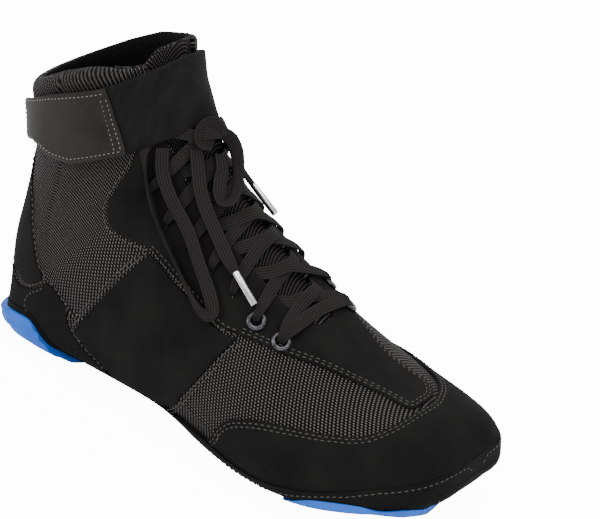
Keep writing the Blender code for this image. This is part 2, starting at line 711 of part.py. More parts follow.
def make_midsole(home, cutters):
    def low(station, turn):
        return station < 17.2 and (abs(turn) > 66 or station < 1.3)
    mesh = layer("midsole", RINGS, ALL_TURNS, GAP, rand_outside, low)
    midsole = add_object("midsole", mesh, "black_rubber", home)
    cut(midsole, side_cutter("rand_line", RAND_LINE, RAND_HEIGHT, cutters), "INTERSECT")
    return midsole


def floor_block(home):
    """Cuts the flat spots that heel and forefoot stand on."""
    bpy.ops.mesh.primitive_cube_add(size=1)
    block = bpy.context.active_object
    block.name = "floor"
    for collection in list(block.users_collection):
        collection.objects.unlink(block)
    home.objects.link(block)
    block.data.transform(Matrix.Diagonal((2 * LENGTH, 2 * LENGTH, LENGTH, 1)))
    block.data.transform(Matrix.Translation((LENGTH / 2, 0, FLAT_SPOT - LENGTH / 2)))
    return as_cutter(block)


def make_heel_pod(home, cutters, floor):
    def low(station, turn):
        return 11.9 < station < 18 and abs(turn) > 80
    mesh = layer("outsole_heel", RINGS, ALL_TURNS, pod_inside, pod_outside, low)
    pod = add_object("outsole_heel", mesh, "blue_rubber", home)
    cut(pod, side_cutter("heel_pod_line", HEEL_POD_LINE, HEEL_POD_HEIGHT, cutters), "INTERSECT")
    grooves(pod, "heel_groove", HEEL_GROOVES, (12, 18), cutters)
    cut(pod, floor, "DIFFERENCE")
    return pod


def make_forefoot_pod(home, cutters, floor):
    def low(station, turn):
        return 0.4 < station < 11.0 and abs(turn) > 80
    mesh = layer("outsole_forefoot", RINGS, ALL_TURNS, pod_inside, pod_outside, low)
    pod = add_object("outsole_forefoot", mesh, "blue_rubber", home)
    line = side_cutter("forefoot_line", FOREFOOT_POD_LINE, FOREFOOT_POD_HEIGHT, cutters)
    cut(pod, line, "INTERSECT")
    cut(pod, front_cutter("forefoot_front", FOREFOOT_POD_FRONT, cutters), "DIFFERENCE")
    cut(pod, floor, "DIFFERENCE")
    return pod


def grooves(pod, name, lines, span, home):
    """Shallow grooves round a pod's side that leave ribs between them."""
    def depth(station, turn):
        return pod_outside(station, turn) - RIB_DEPTH
    def side(station, turn):
        return span[0] < station < span[1] and 80 < abs(turn) < 141
    for number, line in enumerate(lines):
        mesh = layer(name, RINGS, ALL_TURNS, depth, 2 * TREAD + CUP_WALL, side)
        ring = as_cutter(add_object(f"{name}_{number}", mesh, None, home))
        strip = side_cutter(f"{name}_strip_{number}", line, HEEL_POD_HEIGHT, home,
                            thickness=RIB_WIDTH)
        cut(ring, strip, "INTERSECT")
        cut(pod, ring, "DIFFERENCE")


def make_insole(home):
    bottom = -(UPPER_WALL + GAP)
    def low(station, turn):
        return 2.0 < station < 14.8 and abs(turn) > LOW_TURNS[1]
    def top(station, turn):
        share = np.interp(np.abs(turn), np.radians(INSOLE_EDGE[0]), INSOLE_EDGE[1])
        return bottom - INSOLE_THICKNESS * share
    mesh = layer("insole", RINGS, ALL_TURNS, top, bottom, low)
    return add_object("insole", mesh, "lining", home)


def make_tongue(home):
    top = -(UPPER_WALL + GAP)
    def middle(station, turn):
        edge = degrees(throat_turn(station))
        return abs(turn) < edge + 2 * (SIDE_END - edge) / SIDE_STEPS
    mesh = layer("tongue", TONGUE_RINGS, TONGUE_TURNS, top - TONGUE_THICKNESS, top, middle)
    return add_object("tongue", mesh, "air_mesh", home)


def make_panel(name, outline, home, cutters):
    """An overlay of the upper, inside an outline and above the rand."""
    def skin_of_upper(station, turn):
        return not in_throat(station, turn)
    mesh = layer(name, RINGS, ALL_TURNS, GAP, GAP + OVERLAY, skin_of_upper)
    panel = add_object(name, mesh, "black_suede", home)
    rand = side_cutter(f"{name}_rand", RAND_LINE, RAND_HEIGHT, cutters, grow=GAP)
    cut(panel, rand, "DIFFERENCE")
    edge = patch_cutter(f"{name}_outline", outline, -PATCH_REACH, PATCH_REACH, cutters)
    cut(panel, edge, "INTERSECT")
    return panel


def make_toe_cap(home, cutters):
    """The overlay round the toe, ahead of its scalloped edge and above the rand."""
    def front(station, turn):
        return station < TOE_CAP_END
    mesh = layer("toe_cap", RINGS, ALL_TURNS, GAP, GAP + OVERLAY, front)
    cap = add_object("toe_cap", mesh, "black_suede", home)
    rand = side_cutter("toe_cap_rand", RAND_LINE, RAND_HEIGHT, cutters, grow=GAP)
    cut(cap, rand, "DIFFERENCE")
    behind = TOE_CAP_END + 0.8
    low = TOE_CAP_EDGE[0][1]
    outline = (TOE_CAP_EDGE, (TOE_CAP_EDGE[-1], (behind, -low)),
               ((behind, -low), (behind, 0), (behind, low)), ((behind, low), TOE_CAP_EDGE[0]))
    cut(cap, patch_cutter("toe_cap_edge", outline, -PATCH_REACH, PATCH_REACH, cutters),
        "DIFFERENCE")
    return cap


def make_panels(home, cutters):
    make_toe_cap(home, cutters)
    lobe = mirrored([EYESTAY_LOBE])[0]
    seam = mirrored([EYESTAY_SEAM])[0]
    top = (EYESTAY_LOBE[-1], (EYESTAY_LOBE[-1][0], 0), lobe[-1])
    eyestay = make_panel("eyestay", (VAMP_EDGE, seam[::-1], lobe, top[::-1], EYESTAY_LOBE[::-1],
                                     EYESTAY_SEAM), home, cutters)
    make_panel("saddle_lateral", SADDLE, home, cutters)
    make_panel("saddle_medial", mirrored(SADDLE), home, cutters)
    under = (far_side(FOXING_SIDE)[-1], (FOXING_SIDE[0][0], 180), FOXING_SIDE[0])
    make_panel("heel_foxing", (FOXING_SIDE, around_heel(FOXING_TOP), far_side(FOXING_SIDE), under),
               home, cutters)
    over = (far_side(STAY_EDGE)[-1], (STAY_EDGE[0][0] + 0.1, 180), STAY_EDGE[0])
    make_panel("back_stay", (around_heel(STAY_FOOT), far_side(STAY_EDGE), over, STAY_EDGE),
               home, cutters)
    return eyestay


def strap_edges(turn):
    """Lower and upper station of the strap at a turn in degrees."""
    at = abs((turn + 180) % 360 - 180)
    table = np.array(STRAP_EDGES, float)
    return np.interp(at, table[:, 0], table[:, 1]), np.interp(at, table[:, 0], table[:, 2])


def strap_piece(name, span, low, high, home, material, ends=(0.0, 0.0)):
    """A length of the strap between two turns; ends shorten its corners, in stations."""
    count = int((span[1] - span[0]) / STRAP_STEP) + 1
    turns = np.linspace(span[0], span[1], count)
    grid = []
    for number, turn in enumerate(turns):
        lower, upper = strap_edges(turn)
        corner = ends[0] if number == 0 else ends[1] if number == count - 1 else 0.0
        grid.append(np.linspace(lower + corner, upper - corner, STRAP_ROWS))
    stations = np.array(grid).T
    around = np.broadcast_to(np.radians(turns), stations.shape)
    slack = STRAP_FRONT_SLACK * np.exp(-(np.degrees(around) / STRAP_FOLD_TURN) ** 2)
    inner = lifted(stations, around, low + slack)
    outer = lifted(stations, around, high + slack)
    cells = [(row, column) for row in range(STRAP_ROWS - 1) for column in range(count - 1)]
    points, faces = shell(outer, inner, cells)
    return add_object(name, mesh_from(name, points, faces), material, home)


def make_strap(home):
    low = STRAP_STANDOFF
    high = low + STRAP_THICKNESS
    strap_piece("strap_elastic", ELASTIC_SPAN, low, high, home, "elastic")
    strap_piece("strap_anchor", ANCHOR_SPAN, low, high, home, "strap_leather", ends=(0.4, 0.0))
    over = high + GAP
    strap_piece("strap_tab", TAB_SPAN, over, over + TAB_THICKNESS, home, "strap_leather",
                ends=(0.0, 0.5))


def hole_cutter(name, place, width, depth, home):
    """A drill along the last's normal, through a lace hole."""
    bpy.ops.mesh.primitive_cylinder_add(vertices=HOLE_SIDES, radius=width / 2, depth=2 * depth)
    drill = bpy.context.active_object
    drill.name = name
    for collection in list(drill.users_collection):
        collection.objects.unlink(drill)
    home.objects.link(drill)
    stand_on_skin(drill, place, 0.0)
    return as_cutter(drill)


def stand_on_skin(thing, place, lift):
    """Puts an object's origin on the last, with its Z along the normal."""
    station, turn = place[0], radians(place[1])
    normal = Vector(outward(station, turn))
    thing.location = Vector(lifted(station, turn, lift))
    thing.rotation_euler = normal.to_track_quat("Z", "Y").to_euler()


def make_eyelet(name, place, home):
    """A rolled metal ring with its barrel, turned round its own axis."""
    bore = EYELET_BORE / 2
    rim = EYELET_DIAMETER / 2
    bend = (rim - bore) * 0.3
    foot = -(GAP + OVERLAY)
    profile = ((rim - bend, EYELET_RIM), (rim, EYELET_RIM - bend), (rim, 0),
               (bore + EYELET_WALL, 0), (bore + EYELET_WALL, foot), (bore, foot),
               (bore, EYELET_RIM - bend), (bore + bend, EYELET_RIM))
    mesh = bpy.data.meshes.new(name)
    edges = [(i, (i + 1) % len(profile)) for i in range(len(profile))]
    mesh.from_pydata([(radius, 0, height) for radius, height in profile], edges, [])
    ring = add_object(name, mesh, "gunmetal", home)
    screw = ring.modifiers.new("turned", "SCREW")
    screw.steps = screw.render_steps = HOLE_SIDES
    screw.use_merge_vertices = True
    screw.merge_threshold = 1e-5
    screw.use_normal_calculate = True
    stand_on_skin(ring, place, 2 * GAP + OVERLAY)
    return ring


def make_eyelets(home, cutters, eyestay):
    """Metal rings in the first rows, each in its own hole of the eyestay."""
    for row, (station, turn) in enumerate(LACING[:RINGED_ROWS]):
        for side, sign in (("lateral", 1), ("medial", -1)):
            place = (station, sign * turn)
            width = EYELET_BORE + 2 * (EYELET_WALL + GAP)
            drill = hole_cutter(f"lace_hole_{side}_{row + 1}", place, width, PATCH_REACH, cutters)
            cut(eyestay, drill, "DIFFERENCE")
            make_eyelet(f"eyelet_{side}_{row + 1}", place, home)


def beside(row, sign, clear):
    """Turn in degrees at which a lace starts, clear of its row's hole towards the throat."""
    station, turn = LACING[row]
    hole = skin(station, radians(sign * turn))
    for step in range(1, turn):
        here = skin(station, radians(sign * (turn - step)))
        if np.linalg.norm(here - hole) > clear:
            return sign * (turn - step)
    return 0


def lace_turn(row, sign):
    if row < RINGED_ROWS:
        return beside(row, sign, EYELET_DIAMETER / 2 + 2 * GAP)
    return sign * LACING[row][1]


def make_crossings(home, cutters):
    """The laced stretches over the tongue, joined into one solid."""
    seat = 4 * GAP + OVERLAY + LACE_THICKNESS / 2
    dip = seat - 0.1 * LACE_THICKNESS
    routes = []
    start, first = LACING[0][0], lace_turn(0, 1)
    routes.append(((start, first, seat), (start, 0, dip), (start, -first, seat)))
    for row in range(len(LACING) - 1):
        station, following = LACING[row][0], LACING[row + 1][0]
        middle = (station + following) / 2
        for sign, rise in ((1, 0.0), (-1, 0.75 * LACE_THICKNESS)):
            routes.append(((station, lace_turn(row, sign), seat + 0.1 * LACE_THICKNESS),
                           (middle, 0, dip + rise),
                           (following, lace_turn(row + 1, -sign), seat + 0.2 * LACE_THICKNESS)))
    last = len(LACING) - 1
    for sign in (1, -1):
        routes.append(((LACING[last][0], lace_turn(last, sign), seat + 0.3 * LACE_THICKNESS),
                       (LACING[last][0] + 0.35, sign * 22, seat),
                       (LACING[last][0] + 0.6, KNOT_PLACE[1] + 2 * sign, seat)))
    laces = None
    for number, route in enumerate(routes):
        if laces is None:
            laces = ribbon("lace_crossings", route, LACE_WIDTH, LACE_THICKNESS, home)
            laces.data.materials.append(new_material("lace_cotton"))
        else:
            piece = as_cutter(ribbon(f"lace_run_{number}", route, LACE_WIDTH * 0.98,
                                     LACE_THICKNESS, cutters))
            cut(laces, piece, "UNION")
    return laces


def make_knot(home):
    """The bow's wrapped middle, below the strap's front edge."""
    bpy.ops.mesh.primitive_uv_sphere_add(segments=12, ring_count=8, radius=0.5)
    knot = bpy.context.active_object
    knot.name = "lace_knot"
    for collection in list(knot.users_collection):
        collection.objects.unlink(knot)
    home.objects.link(knot)
    knot.data.transform(Matrix.Diagonal((*KNOT_SIZE, 1)))
    knot.data.materials.append(new_material("lace_cotton"))
    stand_on_skin(knot, KNOT_PLACE, 5 * GAP + OVERLAY + LACE_THICKNESS + KNOT_SIZE[2] / 2)
    return knot


def make_aglet(name, route, home):
    """The metal tip that ends a lace, in line with its last stretch."""
    before, last = (Vector(point) for point in cord_points(route)[-2:])
    heading = (last - before).normalized()
    bpy.ops.mesh.primitive_cylinder_add(vertices=10, radius=AGLET_DIAMETER / 2,
                                        depth=AGLET_LENGTH)
    tip = bpy.context.active_object
    tip.name = name
    for collection in list(tip.users_collection):
        collection.objects.unlink(tip)
    home.objects.link(tip)
    tip.location = last + heading * (AGLET_LENGTH / 2 + GAP)
    tip.rotation_euler = heading.to_track_quat("Z", "Y").to_euler()
    tip.data.materials.append(new_material("aglet"))
    return tip


def make_bow(home):
    make_knot(home)
    for name, route in (("lace_loop_lateral", LOOP_LATERAL), ("lace_loop_medial", LOOP_MEDIAL),
                        ("lace_end_lateral", END_LATERAL), ("lace_end_medial", END_MEDIAL)):
        cord(name, route, CORD_DIAMETER, home, "lace_cotton")
    make_aglet("aglet_lateral", END_LATERAL, home)
    make_aglet("aglet_medial", END_MEDIAL, home)


def stand_on_origin(home, cutters, loose=()):
    """Hangs the shoe and its cutters on an empty that puts its bottom centre at the origin."""
    bpy.context.view_layer.update()
    graph = bpy.context.evaluated_depsgraph_get()
    corners = []
    for thing in home.objects:
        if thing.name not in loose:
            mesh = thing.evaluated_get(graph).to_mesh()
            corners += [thing.matrix_world @ vert.co for vert in mesh.vertices]
    low = [min(corner[axis] for corner in corners) for axis in range(3)]
    high = [max(corner[axis] for corner in corners) for axis in range(3)]
    anchor = bpy.data.objects.new("shoe_origin", None)
    anchor.location = (-(low[0] + high[0]) / 2, -(low[1] + high[1]) / 2, -low[2])
    for thing in list(home.objects) + list(cutters.objects):
        thing.parent = anchor
    home.objects.link(anchor)
    bpy.context.view_layer.update()


def build():
    shoe, cutters = empty_work()
    floor = floor_block(cutters)
    make_upper(shoe)
    make_midsole(shoe, cutters)
    make_heel_pod(shoe, cutters, floor)
    make_forefoot_pod(shoe, cutters, floor)
    make_insole(shoe)
    make_tongue(shoe)
    eyestay = make_panels(shoe, cutters)
    make_strap(shoe)
    make_eyelets(shoe, cutters, eyestay)
    make_crossings(shoe, cutters)
    make_bow(shoe)
    stand_on_origin(shoe, cutters, LOOSE)


build()
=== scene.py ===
"""Wrestling shoe, dressed: mesh, suede panels, rubber sole, ankle strap and flat laces.

Every soft layer is drawn over the same last.  A place on it is a station, which counts the
rows of the two tables from the toe tip to the collar, and a turn in degrees from the top
ridge, + over the outer side and - over the inner side, with 180 at the bottom and the heel.
"""
import bpy
import bmesh
import numpy as np
from math import asin, cos, degrees, pi, radians, sin
from mathutils import Matrix, Vector
from mathutils.geometry import delaunay_2d_cdt
from bpy.props import FloatProperty, PointerProperty, StringProperty


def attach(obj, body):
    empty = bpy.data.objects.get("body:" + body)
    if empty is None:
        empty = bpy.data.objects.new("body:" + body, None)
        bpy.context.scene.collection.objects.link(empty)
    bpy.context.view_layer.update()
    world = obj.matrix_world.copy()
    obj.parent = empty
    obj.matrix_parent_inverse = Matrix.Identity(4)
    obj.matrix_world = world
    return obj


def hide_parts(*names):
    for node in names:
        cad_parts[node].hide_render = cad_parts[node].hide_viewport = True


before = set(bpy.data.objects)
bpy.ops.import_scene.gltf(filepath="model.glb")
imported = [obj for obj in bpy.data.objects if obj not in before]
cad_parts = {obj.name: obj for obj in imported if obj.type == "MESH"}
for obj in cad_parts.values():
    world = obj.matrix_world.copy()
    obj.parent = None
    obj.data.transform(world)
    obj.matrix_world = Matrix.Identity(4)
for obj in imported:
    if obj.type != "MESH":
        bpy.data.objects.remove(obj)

bl_info = {
    "name": "Wrestling shoe",
    "version": (1, 0, 0),
    "blender": (4, 5, 0),
    "location": "View3D > Sidebar > Shoe",
    "description": "Dresses the shoe's frame with fabric, suede, rubber, strap and laces",
    "category": "Add Mesh",
}

MM = 0.001
# Cloth coordinates are stored as UV values of this much a millimetre
UV_PER_MM = 0.01
# Where the frame's origin lies from the last's
ANCHOR = np.array([-0.1361918, 0.0027559, -0.0004])

# The last, in metres, as the frame was built over it
LENGTH = 0.268
BALL_WIDTH = 0.107
HEEL_WIDTH = 0.078
INSTEP_HEIGHT = 0.0925
BACK_HEIGHT = 0.127
FRONT_HEIGHT = 0.165
TOE_SPRING = 0.0105
ARCH_RISE = 0.004
BASE_HEIGHT = 0.0057
RAND_HEIGHT = 0.0150
HEEL_POD_HEIGHT = 0.0215
FOREFOOT_POD_HEIGHT = 0.0060
THROAT_WIDTH = 0.030
THROAT_START = 8.2

# Sections of the foot, from the toe tip to the instep.
# base_x, top_x: shares of LENGTH. base_z, top_z: shares of INSTEP_HEIGHT.
# mid, lateral, medial: shares of BALL_WIDTH. widest: share of the section's own height.
FOOT = (
    # base_x, base_z, top_x, top_z, mid, lateral, medial, widest, base_power, top_power
    (1.000, 0.080, 1.000, 0.080, 0.060, 0.000, 0.000, 0.50, 2.0, 2.0),
    (0.997, 0.036, 0.995, 0.190, 0.060, 0.172, 0.150, 0.45, 2.3, 2.0),
    (0.986, 0.010, 0.983, 0.260, 0.056, 0.285, 0.228, 0.40, 2.8, 2.1),
    (0.963, 0.000, 0.959, 0.317, 0.050, 0.370, 0.292, 0.35, 3.2, 2.1),
    (0.926, 0.000, 0.920, 0.363, 0.042, 0.436, 0.351, 0.32, 3.4, 2.1),
    (0.875, 0.000, 0.870, 0.410, 0.030, 0.487, 0.401, 0.30, 3.6, 2.1),
    (0.815, 0.000, 0.811, 0.464, 0.016, 0.521, 0.447, 0.28, 4.2, 2.05),
    (0.748, 0.000, 0.748, 0.541, 0.006, 0.536, 0.472, 0.26, 4.3, 2.0),
    (0.681, 0.000, 0.684, 0.640, 0.000, 0.528, 0.467, 0.25, 4.3, 1.95),
    (0.613, 0.000, 0.623, 0.747, 0.000, 0.507, 0.436, 0.25, 4.3, 1.9),
    (0.542, 0.000, 0.573, 0.844, 0.000, 0.480, 0.396, 0.25, 4.0, 1.85),
    (0.465, 0.000, 0.529, 0.929, 0.000, 0.458, 0.366, 0.25, 4.3, 1.85),
    (0.378, 0.000, 0.492, 1.000, 0.000, 0.440, 0.350, 0.26, 4.5, 1.85),
)
# Sections of the shaft, from the instep to the collar, and one row past its rim.
# base_z: share of BACK_HEIGHT. top_z: share of the way from INSTEP_HEIGHT to FRONT_HEIGHT.
# mid, lateral, medial: shares of HEEL_WIDTH.
SHAFT = (
    # base_x, base_z, top_x, top_z, mid, lateral, medial, widest, base_power, top_power
    (0.265, 0.000, 0.459, 0.105, 0.0, 0.565, 0.485, 0.27, 4.5, 1.85),
    (0.141, 0.000, 0.430, 0.205, 0.0, 0.550, 0.490, 0.29, 5.0, 1.9),
    (0.060, 0.010, 0.405, 0.300, 0.0, 0.530, 0.488, 0.33, 4.2, 1.95),
    (0.031, 0.120, 0.382, 0.395, 0.0, 0.503, 0.480, 0.39, 2.9, 2.0),
    (0.0135, 0.292, 0.359, 0.500, 0.0, 0.482, 0.470, 0.44, 2.2, 2.0),
    (0.026, 0.468, 0.339, 0.605, 0.0, 0.464, 0.459, 0.48, 2.1, 2.1),
    (0.038, 0.617, 0.323, 0.710, 0.0, 0.453, 0.453, 0.50, 2.1, 2.1),
    (0.041, 0.768, 0.312, 0.815, 0.0, 0.445, 0.445, 0.50, 2.1, 2.2),
    (0.034, 0.912, 0.303, 0.920, 0.0, 0.453, 0.453, 0.50, 2.1, 2.2),
    (0.034, 1.000, 0.299, 1.000, 0.0, 0.459, 0.459, 0.50, 2.1, 2.2),
    (0.032, 1.080, 0.295, 1.110, 0.0, 0.462, 0.462, 0.50, 2.1, 2.2),
)

# Half the throat's width along the lacing, as shares of THROAT_WIDTH
THROAT = (
    # station, share
    (0.0, 0.30),
    (6.0, 0.30),
    (7.6, 0.26),
    (8.2, 0.22),
    (8.6, 0.35),
    (9.5, 0.42),
    (11.0, 0.47),
    (13.0, 0.50),
    (17.0, 0.52),
    (20.0, 0.55),
    (23.0, 0.60),
)

# Heights of the sole's pieces along its side, as shares
RAND_LINE = (
    # x, height
    (-0.06, 1.04), (0.02, 1.06), (0.05, 1.24), (0.085, 1.45), (0.115, 1.55), (0.144, 1.58),
    (0.163, 1.44), (0.183, 1.10), (0.20, 0.84), (0.24, 0.60), (0.34, 0.60), (0.44, 0.72),
    (0.54, 0.90), (0.60, 0.98), (0.66, 0.86), (0.74, 0.84), (0.80, 0.94), (0.86, 1.14),
    (0.93, 1.38), (1.00, 1.42), (1.06, 1.42),
)
HEEL_POD_LINE = (
    (-0.06, 0.54), (0.02, 0.56), (0.05, 0.70), (0.085, 0.87), (0.115, 0.94), (0.144, 0.97),
    (0.161, 0.86), (0.181, 0.60), (0.197, 0.38), (0.22, 0.20), (0.24, 0.04),
)
FOREFOOT_POD_LINE = (
    (0.485, 0.10), (0.52, 0.40), (0.60, 0.46), (0.70, 0.46), (0.76, 0.55), (0.79, 1.10),
    (0.83, 1.85), (0.87, 2.05), (0.91, 1.95), (0.94, 1.55), (0.968, 1.55), (0.983, 1.30),
    (0.992, 0.90), (1.06, 0.90),
)
# Front edge of the forefoot pod in plan, from the lateral side to the medial one
FOREFOOT_POD_FRONT = (
    # share of LENGTH, share of BALL_WIDTH
    (0.9999, -0.40), (0.9255, 0.54),
)

# Places of the lace holes up the throat, ringed ones first
LACING = (
    # station, turn
    (8.38, 29), (9.22, 33), (10.3, 35), (11.35, 37), (12.45, 39), (13.6, 41), (15.2, 40),
)
RINGED_ROWS = 2
# Punched holes in mm, under the rings and above them
RINGED_HOLE = 5.6
PLAIN_HOLE = 3.4
# Rolled rings and the metal tips, in metres
RING_WIRE = 0.0012
BARREL_WALL = 0.0003
BARREL_DEPTH = 0.0024
TIP_LENGTH = 0.018
TIP_RADIUS = 0.0017

# Outlines of the panels on the lateral side, as (station, turn) runs that share their ends
TOE_CAP_EDGE = (
    (9.5, 128), (9.3, 108), (8.7, 82), (8.0, 69), (7.0, 58), (5.9, 49), (5.1, 41), (4.65, 25),
    (4.5, 5), (4.55, -8), (5.1, -27), (6.0, -42), (7.0, -54), (8.0, -66), (8.7, -80),
    (9.3, -108), (9.5, -128),
)
VAMP_EDGE = ((9.4, 43.8), (8.3, 33), (7.1, 19), (5.8, 10.5), (4.78, 9.0), (4.64, 0), (4.74, -11),
             (5.3, -22), (5.9, -22), (6.7, -22), (7.5, -27), (8.3, -33), (9.5, -43.5))
EYESTAY_LOBE = ((13.4, 50.6), (14.32, 55.2), (15.18, 58.1), (15.9, 58.1), (16.34, 50.8),
                (16.8, 43.5), (18.4, 38.5), (20.2, 34))
EYESTAY_SEAM = ((13.4, 50.6), (12.3, 50.5), (11.26, 50.2), (10.07, 48.8), (9.4, 43.8))
SADDLE = (
    ((9.4, 46.0), (10.07, 50.9), (11.26, 52.2), (12.3, 52.5), (13.25, 52.4)),
    ((13.25, 52.4), (13.4, 70), (13.46, 91.5)),
    ((13.46, 91.5), (13.24, 95.5), (12.92, 102.3), (12.46, 114), (12.42, 135), (12.4, 150)),
    ((12.4, 150), (11.5, 148)),
    ((11.5, 148), (11.2, 130), (10.87, 116), (10.35, 92), (9.85, 70.6), (9.4, 46.0)),
)
FOXING_SIDE = ((12.62, 150), (12.6, 135), (12.6, 114), (13.06, 102.3), (13.38, 95.5),
               (13.62, 91.4), (14.1, 88.5), (14.62, 87.6), (14.92, 89.3))
FOXING_TOP = ((14.92, 89.3), (15.15, 94), (15.6, 108), (16.15, 130), (16.5, 155), (16.6, 180))
STAY_FOOT = ((15.1, 90.2), (15.3, 94.7), (15.74, 108), (16.28, 130), (16.62, 155), (16.72, 180))
STAY_EDGE = ((20.2, 160), (19.4, 148), (18.5, 131.5), (17.6, 114.5), (16.83, 104.8),
             (16.09, 96.8), (15.45, 90.9), (15.1, 90.2))

# Edges of the ankle strap round the shaft; the medial side repeats the lateral one.
# Its lengths span turns, the tab's front end leans by turns, and it is some mm thick.
STRAP_EDGES = (
    # turn, lower station, upper station
    (0, 16.52, 20.62), (20, 16.62, 20.52), (33, 16.87, 20.50), (46, 17.16, 20.50),
    (57, 17.48, 20.56), (69, 17.77, 20.70), (80, 18.04, 20.85), (96, 18.75, 21.00),
    (108, 19.30, 20.99), (120, 19.62, 20.98), (141, 19.80, 20.95), (180, 19.80, 21.00),
)
ELASTIC_SPAN = (-58, 62)
TAB_SPAN = (52, 142)
TAB_SLANT = 11.5
STRAP_THICKNESS = 1.6
ANCHOR_SPAN = (-166, -59)

# The upper's cloth: turns where its sides end and the opening under the foot begins, the
# station which that opening reaches, and the stations where the collar's padding, its roll
# and its closing edge begin
SIDE_TURN = 97
LASTING_TURN = 157.5
LASTING_STATION = 14.8
PAD_STATION = 18.8
ROLL_STATION = 20.3
RIM_STATION = 21.3
TONGUE_RIM_STATION = 21.6
# The lining's depth in mm under the last, and the depth of the insole's top
LINING_DEPTH = 2.2
INSOLE_DEPTH = 2.5

# How far the collar's rim dips, in stations, at each turn. The dip grows from a row below it.
RIM_DIP_START = 20.0
RIM_ROWS = 2.2
RIM_DIP = ((-180, -120, -90, -60, -30, 12, 26, 37, 47, 57, 71, 90, 127, 160, 180),
           (0.10, 0.00, 0.05, 0.55, 0.95, 0.95, 1.55, 1.40, 1.15, 0.75, 0.35, 0.15, 0.25,
            0.15, 0.10))
# How the rand swells round its sides and along them, in mm and shares
RAND_SWELL = 1.6
SWELL_TURNS = ((80, 97, 111, 125, 141, 157.5), (0, 0.3, 0.8, 1.0, 0.65, 0))
SWELL_STATIONS = ((0, 1.1, 9.7, 10.8), (0, 0.8, 1.0, 0))
# Lifts in mm of the rand and of the pads, at their thinnest, and the pads' full tread
RAND_FACE = 1.8
POD_FACE = 2.1
POD_TREAD = 3.6
# Thickness of a pad's side at each turn, as a share of the tread
POD_TURNS = ((80, 97, 111, 125, 141), (0.30, 0.33, 0.46, 0.76, 1.0))

# Creases of the worn cloth: two ends as station and turn, depth in metres, width in mm.
# One row and one degree are about this many mm there.
ROW_MM = 9.0
TURN_MM = 0.6
CREASES = (
    # station, turn, station, turn, depth, width
    (7.4, 40, 6.6, 78, -0.0006, 5.0),
    (8.2, 48, 7.6, 84, 0.0005, 6.0),
)

# The curl of stitches on the heel panel's corner
HEEL_CURL = ((14.55, 101.5), (14.78, 100.2), (14.95, 98.4), (15.02, 95.5), (14.98, 92.4),
             (14.86, 90.0))

# Lengths wrapped over the knot, as the routes below are given
KNOT_WRAPS = (
    ((15.5, -8, 4.6, 0, 0.3), (15.75, -2, 7.2, 10, 0.2), (15.95, 4, 8.4, 0, 0.2),
     (16.2, 10, 7.0, -10, 0.2), (16.3, 15, 5.0, 0, 0.3)),
    ((16.5, -3, 4.8, 0, 0.3), (16.2, 1, 6.8, 10, 0.3), (15.7, 6, 7.0, 0, 0.3),
     (15.3, 9, 5.4, 0, 0.3)),
)

# Free stretches of the bow: name, route, frame node, tip node
# A route's places are station, turn, lift in mm, roll in degrees and narrowing
BOW = (
    ("bow_loop_lateral", (
        (16.2, 11, 6.0, 0, 0.2), (16.75, 18, 3.2, 0, 0.2), (17.2, 27, 1.95, 0, 0),
        (17.1, 35.5, 1.95, 0, 0), (16.6, 38, 3.4, 50, 0), (15.2, 38.5, 4.8, 85, 0),
        (13.7, 41.5, 5.4, 80, 0),
        (12.4, 46, 5.0, 70, 0), (11.3, 50, 4.4, 55, 0), (10.65, 51, 4.4, 40, 0),
        (10.4, 47.5, 4.4, 10, 0), (10.8, 43.5, 4.6, 0, 0), (11.7, 39, 5.0, -8, 0),
        (12.8, 34.5, 5.2, -8, 0), (14.2, 32, 5.0, 0, 0), (15.6, 31, 4.6, 0, 0),
        (16.5, 28, 4.4, 0, 0.1)), "lace_loop_lateral", None),
    ("bow_end_lateral", (
        (15.6, 13, 5.6, 10, 0.2), (14.9, 15.5, 5.8, 0, 0), (13.5, 21.5, 5.6, 0, 0),
        (12.2, 25, 5.4, 0, 0), (11.1, 28, 5.4, 10, 0.1), (10.6, 29, 5.6, 10, 0.9)),
     "lace_end_lateral", "aglet_lateral"),
    ("bow_loop_medial", (
        (15.8, -4, 6.6, 20, 0.1), (15.3, -9, 7.4, 60, 0), (14.4, -8, 7.0, 80, 0),
        (13.5, -1.5, 5.8, 75, 0), (12.9, 6, 5.4, 60, 0), (12.7, 11.5, 5.2, 45, 0),
        (12.95, 15, 5.0, 20, 0), (13.5, 11.5, 4.6, 0, 0), (14.1, 5, 4.4, 0, 0),
        (14.8, 2, 4.6, 0, 0.1)), "lace_loop_medial", None),
    ("bow_end_medial", (
        (16.2, -7, 6.4, 0, 0.2), (16.3, -15, 5.6, 0, 0), (16.2, -23, 5.2, 0, 0),
        (15.7, -29, 5.0, 20, 0), (15.0, -32.5, 5.2, 40, 0), (14.1, -34, 5.4, 40, 0.1),
        (13.3, -34.5, 5.6, 40, 0.9)), "lace_end_medial", "aglet_medial"),
)

# Camera, matched to the photograph: angles in degrees, target and distance in metres,
# focal length, centre and photo size in pixels, sensor width in mm
VIEW_ANGLES = (35.99, 30.06, 6.33)
VIEW_TARGET = (0.0067082, 0.0027559, 0.05795)
VIEW_DISTANCE = 1.1229
VIEW_FOCAL = 2399.86
VIEW_CENTRE = (258.29, 303.54)
PHOTO_SIZE = (600, 519)
SENSOR = 36

# Paper floor's size and the world's brightness
FLOOR_SIZE = 6
FLOOR_LEVEL = -0.0005
WORLD_STRENGTH = 0.85
LAMP_TARGET = (0, 0, 0.07)
# Soft lights: name, place, size in metres, power in watts
LIGHTS = (
    ("key", (-0.9, -1.5, 1.7), (1.2, 1.2), 34),
    ("fill", (1.6, -1.1, 0.9), (1.4, 1.0), 15),
    ("top", (0.2, 0.3, 1.8), (1.5, 1.0), 22),
    ("rim", (-0.6, 1.5, 1.0), (1.2, 0.8), 12),
)


